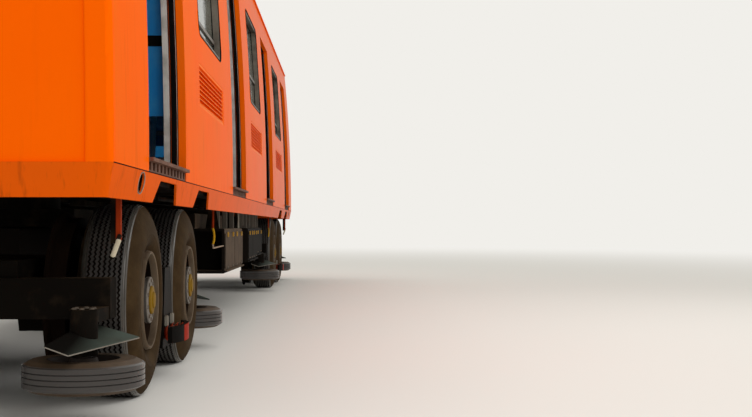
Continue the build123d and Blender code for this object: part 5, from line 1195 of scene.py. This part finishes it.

# Wheels: forged steel wheels and pressed rims on their axles. A machined flange is bolted round each hub,
# a plated cap closes the bearing in its middle, and a dished lock ring is sprung in to hold the tyre.
# A dark rust made nearly black: painted shade for the deep wheel discs and rims.
WHEEL_RUST_AND_SHADE = "#150E0B"
WHEEL_DUST = "#30231A"
CAP_YELLOW = "#7D5F1A"
CAP_DIRT = "#4A3B1E"
RING_PALE = "#6A5C4C"
HUB_GREY = "#77716A"
AXLE_Z = 0.5
CAP_Y = 1.149
CAP_RADIUS = 0.075
CAP_FACETS = 28
CAP_OUTLINE = (
    # outwards from CAP_Y, radius
    (-0.01, CAP_RADIUS),
    (0.008, CAP_RADIUS),
    (0.013, CAP_RADIUS * 0.94),
    (0.016, CAP_RADIUS * 0.6),
    (0.022, CAP_RADIUS * 0.55),
    (0.024, CAP_RADIUS * 0.3),
    (0.0245, 0.001),
    (-0.01, 0.001),
)
FLANGE_NUTS = 10
FLANGE_NUT_RING = 0.1015
FLANGE_Y = 1.1515
NUT_RADIUS = 0.0085
NUT_HEIGHT = 0.01
HUB_SKIN = 0.0008
HUB_FACETS = 40
HUB_OUTLINE = (
    # outwards from the car's middle, radius
    (1.1505, 0.072),
    (1.1505, 0.1185),
    (1.147, 0.122),
    (1.131, 0.122),
    (1.127, 0.1175),
    (1.105, 0.109),
    (1.0785, 0.108),
    (1.0745, 0.1245),
    (1.0305, 0.1224),
)
LOCK_Y = 1.149
LOCK_FACETS = 72
LOCK_RADII = (0.2385, 0.2645)
LOCK_OUTLINE = (
    # outwards from LOCK_Y, radius
    (-0.035, LOCK_RADII[1]),
    (-0.008, LOCK_RADII[1] - 0.006),
    (0.002, LOCK_RADII[1] - 0.0095),
    (0.006, LOCK_RADII[1] - 0.015),
    (0.0035, LOCK_RADII[0] + 0.003),
    (-0.004, LOCK_RADII[0]),
    (-0.03, LOCK_RADII[0]),
    (-0.035, LOCK_RADII[1] - 0.004),
)

# Rusty forged steel: a dark red-brown, nearly black with painted shade, that sets the hub and the ring off.
forged = dusted_paint("rusty_forged_wheel_steel_and_painted_shade", WHEEL_RUST_AND_SHADE, WHEEL_DUST, low=0.4, high=1.2, rough=0.55)
# Rubbed ring steel: a paler brown-grey circle round the dark wheel.
lock_metal = dusted_paint("rubbed_lock_ring_steel", RING_PALE, WHEEL_DUST, low=0.5, high=1.3, rough=0.4)
# Yellow passivated plating: a dull gold disc in the middle of the wheel.
cap_plating = dusted_paint("yellow_passivated_cap_plating", CAP_YELLOW, CAP_DIRT, low=0.5, high=1.4,
                           rough=0.35)
# Machined hub steel: a smooth light grey flange between the gold cap and the rusty disc.
hub_metal = dusted_paint("grey_machined_hub_steel", HUB_GREY, WHEEL_DUST, low=0.6, high=1.4, rough=0.4)
hub = [(along - HUB_SKIN, radius) for along, radius in HUB_OUTLINE]
hub += [(along + HUB_SKIN, radius) for along, radius in reversed(HUB_OUTLINE)]
for end, letter in ((-1, "a"), (1, "b")):
    for way, number in ((-1, 1), (1, 2)):
        name = f"{letter}{number}"
        body = f"wheels_{name}"
        x = end * BOGIE_X + way * AXLE_X
        dress(forged, f"wheelset_{name}")
        nuts = []
        caps = []
        locks = []
        hubs = []
        for side in (-1, 1):
            for across, up in bolt_circle(FLANGE_NUTS, FLANGE_NUT_RING, 0.5):
                nuts.append(((x + across, side * FLANGE_Y, AXLE_Z + up), (0, side, 0)))
            caps.append(outward_ring(x, CAP_Y, AXLE_Z, side, CAP_OUTLINE, CAP_FACETS))
            hubs.append(outward_ring(x, 0, AXLE_Z, side, hub, HUB_FACETS))
            locks.append(outward_ring(x, LOCK_Y, AXLE_Z, side, LOCK_OUTLINE, LOCK_FACETS))
        fasteners(f"wheel_nuts_{name}", nuts, NUT_RADIUS, NUT_HEIGHT, zinc, body)
        built(f"bearing_caps_{name}", [cap_plating], body, "wheel_steel", *joined(caps))
        built(f"hub_faces_{name}", [hub_metal], body, "wheel_steel", *joined(hubs))
        built(f"lock_rings_{name}", [lock_metal], body, "wheel_steel", *joined(locks))

# Road tyres: wide moulded rubber tyres, mounted on the rims, with seven zigzag grooves between flat ribs.
# Smooth shoulders lead over to sidewalls with fine moulded rings. The two tyres of an axle are one piece,
# which takes the place of the plain tyres of the CAD.
TREAD_GREY = "#3B3836"
TREAD_WORN = "#5E5A55"
# Near-black in the grooves: painted shade in the recesses.
GROOVE_SHADE_BLACK = "#15110E"
GROOVE_DIRT = "#2A211A"
SHOULDER_GREY = "#56524C"
SHOULDER_DIRT = "#3F3A34"
SIDEWALL_BROWN = "#352819"
SIDEWALL_DUST = "#4D3D28"
RUBBER_GRAIN_M = 0.004
RUBBER_GRAIN_HEIGHT_M = 0.0005
TYRE_RADIUS = 0.5
TYRE_OUTER_Y = 1.14
TYRE_WIDTH = 0.28
TYRE_STEPS = 240
TREAD_TEETH = 120
TREAD_SWING = 0.0042
GROOVES = 7
GROOVE_DEPTH = 0.009
GROOVE_HALF = (0.0052, 0.003)
GROOVE_CROSSING = (
    # across from the groove's middle, drop from the tread, finish up to the next place
    (-GROOVE_HALF[0], 0, "groove"),
    (-GROOVE_HALF[1], GROOVE_DEPTH, "groove"),
    (GROOVE_HALF[1], GROOVE_DEPTH, "groove"),
    (GROOVE_HALF[0], 0, "tread"),
)
TREAD_HALF = 0.088
WALL_BELOW = 0.484
OUTER_CURVE = (
    # shoulder: outwards from the tyre's middle plane, radius
    (0.0905, 0.499), (0.092, 0.495), (0.0935, 0.4985), (0.101, 0.496), (0.102, 0.492), (0.104, 0.4945),
    (0.1105, 0.489), (0.1165, 0.4815), (0.1235, 0.4715), (0.1315, 0.458), (0.1385, 0.4425),
    # sidewall
    (0.1455, 0.4235), (0.1512, 0.403), (0.1547, 0.381), (0.1562, 0.36), (0.156, 0.347),
    (0.1568, 0.3455), (0.1555, 0.3425), (0.1535, 0.328), (0.1495, 0.3145), (0.143, 0.3015),
    (0.1345, 0.2895), (0.125, 0.279), (0.117, 0.2705), (0.114, 0.2655),
)
FINISH_NUMBERS = {"wall": 0, "shoulder": 1, "tread": 2, "groove": 3}
TYRE_SHARP = 50


def plain_rubber(name, colour, other, rough, gloss=0.01):
    """Rubber of one wear, clouded between two colours with a fine grain."""
    return moulded(name, colour, other, RUBBER_GRAIN_M, rough, RUBBER_GRAIN_HEIGHT_M, gloss)


def tyre_outline():
    """The tyre's closed outline as (across, radius), the points in its grooves and the finish after each."""
    outline = [(-across, radius) for across, radius in reversed(OUTER_CURVE)]
    kinds = ["wall" if radius < WALL_BELOW else "shoulder" for across, radius in outline]
    waved = []
    pitch = 2 * TREAD_HALF / GROOVES
    outline.append((-TREAD_HALF, TYRE_RADIUS))
    kinds.append("tread")
    for number in range(GROOVES):
        middle = -TREAD_HALF + pitch * (number + 0.5)
        for across, drop, kind in GROOVE_CROSSING:
            waved.append(len(outline))
            outline.append((middle + across, TYRE_RADIUS - drop))
            kinds.append(kind)
    outline.append((TREAD_HALF, TYRE_RADIUS))
    kinds.append("shoulder")
    outline += OUTER_CURVE
    kinds += ["shoulder" if radius > WALL_BELOW else "wall" for across, radius in OUTER_CURVE]
    return outline, waved, kinds


# Sidewall rubber: dull brown, as dust has settled in its grain.
sidewall = plain_rubber("brown_dusty_sidewall_rubber", SIDEWALL_BROWN, SIDEWALL_DUST, 0.6)
# Shoulder rubber: rubbed smooth, a light grey with a sheen that catches the lamps.
shoulder = plain_rubber("rubbed_shoulder_rubber", SHOULDER_GREY, SHOULDER_DIRT, 0.25, 0.4)
# Tread rubber: darker than the shoulders, with a soft sheen on each rib.
rib_face = plain_rubber("rubbed_tread_rubber", TREAD_GREY, TREAD_WORN, 0.34, 0.35)
# Groove rubber: black and dull, painted shade in the grooves, so that the zigzag lines read from far off.
groove_shade = plain_rubber("groove_rubber_painted_shade", GROOVE_SHADE_BLACK, GROOVE_DIRT, 0.8)
tyre_rubbers = [sidewall, shoulder, rib_face, groove_shade]
outline, waved, kinds = tyre_outline()
face_finishes = [FINISH_NUMBERS[kinds[face % len(outline)]] for face in range(2 * TYRE_STEPS * len(outline))]
middle_y = TYRE_OUTER_Y - TYRE_WIDTH / 2
for end, letter in ((-1, "a"), (1, "b")):
    for way, number in ((-1, 1), (1, 2)):
        name = f"{letter}{number}"
        x = end * BOGIE_X + way * AXLE_X
        shapes = [turned((x, side * middle_y, AXLE_Z), 1, outline, TYRE_STEPS, TREAD_SWING, TREAD_TEETH,
                         waved) for side in (-1, 1)]
        tyre = built(f"road_tyres_{name}", tyre_rubbers, f"wheels_{name}", "tyre_rubber", *joined(shapes),
                     kinds=face_finishes, sharp=TYRE_SHARP)
        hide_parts(f"tyres_{name}")

# Guide wheels: horizontal wheels on upright pins, each a solid rubber tyre with grooves on a steel wheel
# of two discs that nuts hold together. One finish serves the whole node, and the distance from the pin
# tells steel from rubber in it.
GUIDE_TYRE_RADIUS = 0.27
GUIDE_TREAD_FROM = 0.255
GUIDE_TREAD_EASE = 0.006
GUIDE_BEAD = 0.163
GUIDE_TREAD = "#454240"
GUIDE_WALL = "#5C4B3B"
GUIDE_ROUGH = (0.6, 0.22)
GUIDE_CLOUDS_PER_M = 12.0
GUIDE_GRAINS_PER_M = 220.0
GUIDE_GRAIN_HEIGHT_M = 0.0006
GUIDE_NUTS = 8
GUIDE_NUT_RING = 0.115
GUIDE_NUT_LIFT = 0.002
GUIDE_NUT_RADIUS = 0.009
GUIDE_NUT_HEIGHT = 0.012
GUIDE_WEB_Z = 0.26

# Guide wheel finish: rusty steel inside in the road wheels' near-black, rust and painted shade, a brown dusty
# wall round it, and a tread rubbed grey and smooth.
# Its grain is drawn about 5 mm wide, coarser than real, so that it shows.
guide_finish, tree, surface = surfaced("guide_wheel_rubber_and_steel", Specular_IOR_Level=0.2)
place = add(tree, "ShaderNodeTexCoord")
split = add(tree, "ShaderNodeSeparateXYZ", {0: place.outputs["Object"]})
folded = split.outputs["X"]
for shift in (BOGIE_X, GUIDE_X):
    size = add(tree, "ShaderNodeMath", {0: folded}, operation="ABSOLUTE")
    folded = add(tree, "ShaderNodeMath", {0: size.outputs[0], 1: shift}, operation="SUBTRACT").outputs[0]
width = add(tree, "ShaderNodeMath", {0: split.outputs["Y"]}, operation="ABSOLUTE")
width = add(tree, "ShaderNodeMath", {0: width.outputs[0], 1: GUIDE_Y}, operation="SUBTRACT")
flat = add(tree, "ShaderNodeCombineXYZ", {"X": folded, "Y": width.outputs[0]})
reach = add(tree, "ShaderNodeVectorMath", {0: flat.outputs[0]}, operation="LENGTH")
rubber_part = add(tree, "ShaderNodeMath", {0: reach.outputs["Value"], 1: GUIDE_BEAD},
                  operation="GREATER_THAN")
tread_part = add(tree, "ShaderNodeMapRange", {"Value": reach.outputs["Value"], "From Min": GUIDE_TREAD_FROM,
                                              "From Max": GUIDE_TYRE_RADIUS - GUIDE_TREAD_EASE})
clouds = add(tree, "ShaderNodeTexNoise", {"Vector": place.outputs["Object"], "Scale": GUIDE_CLOUDS_PER_M,
                                          "Detail": 5.0})
steel = add(tree, "ShaderNodeMix", {"Factor": clouds.outputs["Fac"], "A": linear(WHEEL_RUST_AND_SHADE),
                                    "B": linear(WHEEL_DUST)}, data_type="RGBA")
wall = add(tree, "ShaderNodeMix", {"Factor": clouds.outputs["Fac"], "A": linear(SIDEWALL_BROWN),
                                   "B": linear(GUIDE_WALL)}, data_type="RGBA")
rubber = add(tree, "ShaderNodeMix", {"Factor": tread_part.outputs["Result"], "A": wall.outputs["Result"],
                                     "B": linear(GUIDE_TREAD)}, data_type="RGBA")
whole = add(tree, "ShaderNodeMix", {"Factor": rubber_part.outputs[0], "A": steel.outputs["Result"],
                                    "B": rubber.outputs["Result"]}, data_type="RGBA")
tree.links.new(whole.outputs["Result"], surface.inputs["Base Color"])
shine = add(tree, "ShaderNodeMapRange", {"Value": tread_part.outputs["Result"], "To Min": GUIDE_ROUGH[0],
                                         "To Max": GUIDE_ROUGH[1]})
tree.links.new(shine.outputs["Result"], surface.inputs["Roughness"])
grain = add(tree, "ShaderNodeTexNoise", {"Vector": place.outputs["Object"], "Scale": GUIDE_GRAINS_PER_M,
                                         "Detail": 2.0})
bump = add(tree, "ShaderNodeBump", {"Height": grain.outputs["Fac"], "Distance": GUIDE_GRAIN_HEIGHT_M,
                                    "Strength": 0.4})
tree.links.new(bump.outputs["Normal"], surface.inputs["Normal"])
for end, letter in ((-1, "a"), (1, "b")):
    for number, (way, side) in enumerate(((-1, -1), (-1, 1), (1, -1), (1, 1)), 1):
        name = f"guide_wheel_{letter}{number}"
        dress(guide_finish, name)
        x = end * BOGIE_X + way * GUIDE_X
        y = side * GUIDE_Y
        nuts = [((x + across, y + up, GUIDE_WEB_Z + GUIDE_NUT_LIFT), (0, 0, 1))
                for across, up in bolt_circle(GUIDE_NUTS, GUIDE_NUT_RING)]
        fasteners(f"guide_nuts_{letter}{number}", nuts, GUIDE_NUT_RADIUS, GUIDE_NUT_HEIGHT, zinc, name)

# Brake cocks: steel angles bolted up at the body corners, each with a moulded plastic handle. Inboard of
# the bogies hang bent steel levers on spindles with a crossbar. A rod runs from one lever to the open end
# of the first box.
OXIDE_RED = "#8E2F12"
HANDLE_CREAM = "#C9C0A8"
HANDLE_GRIME = "#9C8F78"
HANDLE_GRAIN_M = 0.003
LEVER_YELLOW = "#B98A1E"
FITTING_X = 7.27
ANGLE_HALF = 0.0175
ANGLE_Y = (1.1585, 1.1795)
ANGLE_Z = (0.8235, 1.09)
GRIP_X = 7.292
GRIP_RUN = (
    # y, z
    (1.1745, 0.83),
    (1.146, 0.7515),
)
GRIP_RADIUS = 0.0118
COCK_X = 3.33
COCK_Y = 1.15
SPINDLE_Z = (0.865, 1.105)
SPINDLE_RADIUS = 0.0085
CROSS_Z = 0.92
CROSS_HALF = 0.024
CROSS_RADIUS = 0.006
LEVER_FOOT_Z = 0.748
LEVER_RUN = (
    # towards the car's end, outwards, z
    (0.012, 0.0, 0.871),
    (0.0, 0.006, 0.845),
    (-0.016, 0.008, 0.81),
    (-0.012, 0.006, 0.775),
    (0.004, 0.0, LEVER_FOOT_Z),
)
LEVER_RADIUS = 0.0085
ROD_Z = 0.717
ROD_TO = (-2.194, -1.113)
ROD_BEND = 0.02
ROD_RADIUS = 0.006

# Red-oxide primer: a flat brick red that marks the cocks' ironwork.
oxide = dusted_paint("red_oxide_primer", OXIDE_RED, low=0.6, high=1.5, rough=0.55)
# Cream plastic: a soft pale spot at each body corner, grimy from hands.
cream = moulded("cream_moulded_handle_plastic", HANDLE_CREAM, HANDLE_GRIME, HANDLE_GRAIN_M, 0.45)
# Lever paint: a warm yellow that stands out in front of the dark frames.
yellow = dusted_paint("yellow_lever_paint", LEVER_YELLOW, low=0.6, high=1.5, rough=0.45)
angles = []
grips = []
spindles = []
crosses = []
levers = []
for side in (-1, 1):
    for end in (-1, 1):
        x = end * FITTING_X
        angles.append(((x - ANGLE_HALF, x + ANGLE_HALF), mirrored(side, ANGLE_Y), ANGLE_Z))
        grips.append([(end * GRIP_X, side * y, z) for y, z in GRIP_RUN])
        x = end * COCK_X
        y = side * COCK_Y
        spindles.append([(x, y, SPINDLE_Z[0]), (x, y, SPINDLE_Z[1])])
        crosses.append([(x - CROSS_HALF, y, CROSS_Z), (x + CROSS_HALF, y, CROSS_Z)])
        levers.append([(x + end * along, y + side * outwards, z) for along, outwards, z in LEVER_RUN])
rods = [[(-COCK_X, -COCK_Y, LEVER_FOOT_Z), (-COCK_X + ROD_BEND, -COCK_Y, ROD_Z), (*ROD_TO, ROD_Z)]]
built("cock_angles", [oxide], "root", "box_paint", *bars(angles), ease=0.002)
built("cock_grips", [cream], "root", "seat_plastic", *tubes(grips, GRIP_RADIUS, 12), ease=0.003)
built("cock_spindles", [oxide], "root", "box_paint", *tubes(spindles, SPINDLE_RADIUS, 10))
built("cock_crosses", [oxide], "root", "box_paint", *tubes(crosses, CROSS_RADIUS, 8))
built("cock_levers", [yellow], "root", "box_paint", *tubes(levers, LEVER_RADIUS, 10))
built("cock_rod", [pale_rubber_and_highlight], "root", "tube_steel", *tubes(rods, ROD_RADIUS, 8))

# Couplers: drawbars of cast steel that hang on pins in the draw pockets, each with a square head
# and bolts in two rows on its face.
CAST_BROWN = "#352B23"
HEAD_X = 8.09
HEAD_BOLT_Y = (-0.12, 0.12)
HEAD_BOLT_Z = (0.745, 0.845, 0.945)

# Dusty cast steel: a dull brown with the look of old castings, free of shine.
cast = dusted_paint("dusty_cast_coupler_steel", CAST_BROWN, low=0.45, high=1.2, rough=0.55)
for end, letter in ((-1, "a"), (1, "b")):
    dress(cast, f"coupler_{letter}")
    bolts = [((end * (HEAD_X + BOLT_LIFT), y, z), (end, 0, 0)) for y in HEAD_BOLT_Y for z in HEAD_BOLT_Z]
    fasteners(f"coupler_bolts_{letter}", bolts, BOLT_RADIUS, BOLT_HEIGHT, zinc, f"coupler_{letter}")

# Ends: a hinged steel door between two windows in a flat steel wall. Black rubber gaskets hold the windows
# and the door's own pane, and a bent steel handle is screwed to each door.
END_PANE_HALF = 0.201
END_PANE_Z = (2.125, 2.956)
END_PANE_X = (7.796, 7.802)
END_PANE_RADIUS = 0.07
END_SEAL_OUT = 0.0005
END_WINDOW_Y = 0.76
END_WINDOW_HALF = 0.24
END_FACE_X = 7.823
END_DOOR_X = 7.815
HANDLE_Y = 0.235
HANDLE_Z = (1.995, 2.165)
HANDLE_STAND = 0.03
HANDLE_EASE = 0.012
HANDLE_RADIUS = 0.007


def end_ring(x, y, z, radius):
    """Points of a closed round-cornered line that lies flat across the car at x."""
    return [(x, across, height) for across, height in round_cornered(y, z, radius)]


window_rings = []
pane_y = (-END_PANE_HALF - PANE_BITE, END_PANE_HALF + PANE_BITE)
pane_z = (END_PANE_Z[0] - PANE_BITE, END_PANE_Z[1] + PANE_BITE)
for end, letter in ((-1, "a"), (1, "b")):
    body = f"end_door_{letter}"
    for side in (-1, 1):
        middle_y = side * END_WINDOW_Y
        window_y = (middle_y - END_WINDOW_HALF, middle_y + END_WINDOW_HALF)
        window_rings.append(end_ring(end * END_FACE_X, window_y, WINDOW_Z, WINDOW_CORNER))
    pane = bars([(mirrored(end, END_PANE_X), pane_y, pane_z)])
    built(f"end_pane_{letter}", [glass], body, "glass", *pane)
    seal_x = end * (END_DOOR_X + END_SEAL_OUT)
    seal = end_ring(seal_x, (-END_PANE_HALF, END_PANE_HALF), END_PANE_Z, END_PANE_RADIUS)
    built(f"end_pane_seal_{letter}", [gasket_rubber], body, "tyre_rubber", *tubes([seal], GASKET_RADIUS, 8))
    y = end * HANDLE_Y
    foot_x = end * END_DOOR_X
    grip_x = end * (END_DOOR_X + HANDLE_STAND)
    handle = [(foot_x, y, HANDLE_Z[0]), (grip_x, y, HANDLE_Z[0] + HANDLE_EASE),
              (grip_x, y, HANDLE_Z[1] - HANDLE_EASE), (foot_x, y, HANDLE_Z[1])]
    built(f"end_handle_{letter}", [tube_steel], body, "tube_steel", *tubes([handle], HANDLE_RADIUS, 10))
built("end_window_gaskets", [gasket_rubber], "root", "tyre_rubber", *tubes(window_rings, GASKET_RADIUS, 8))
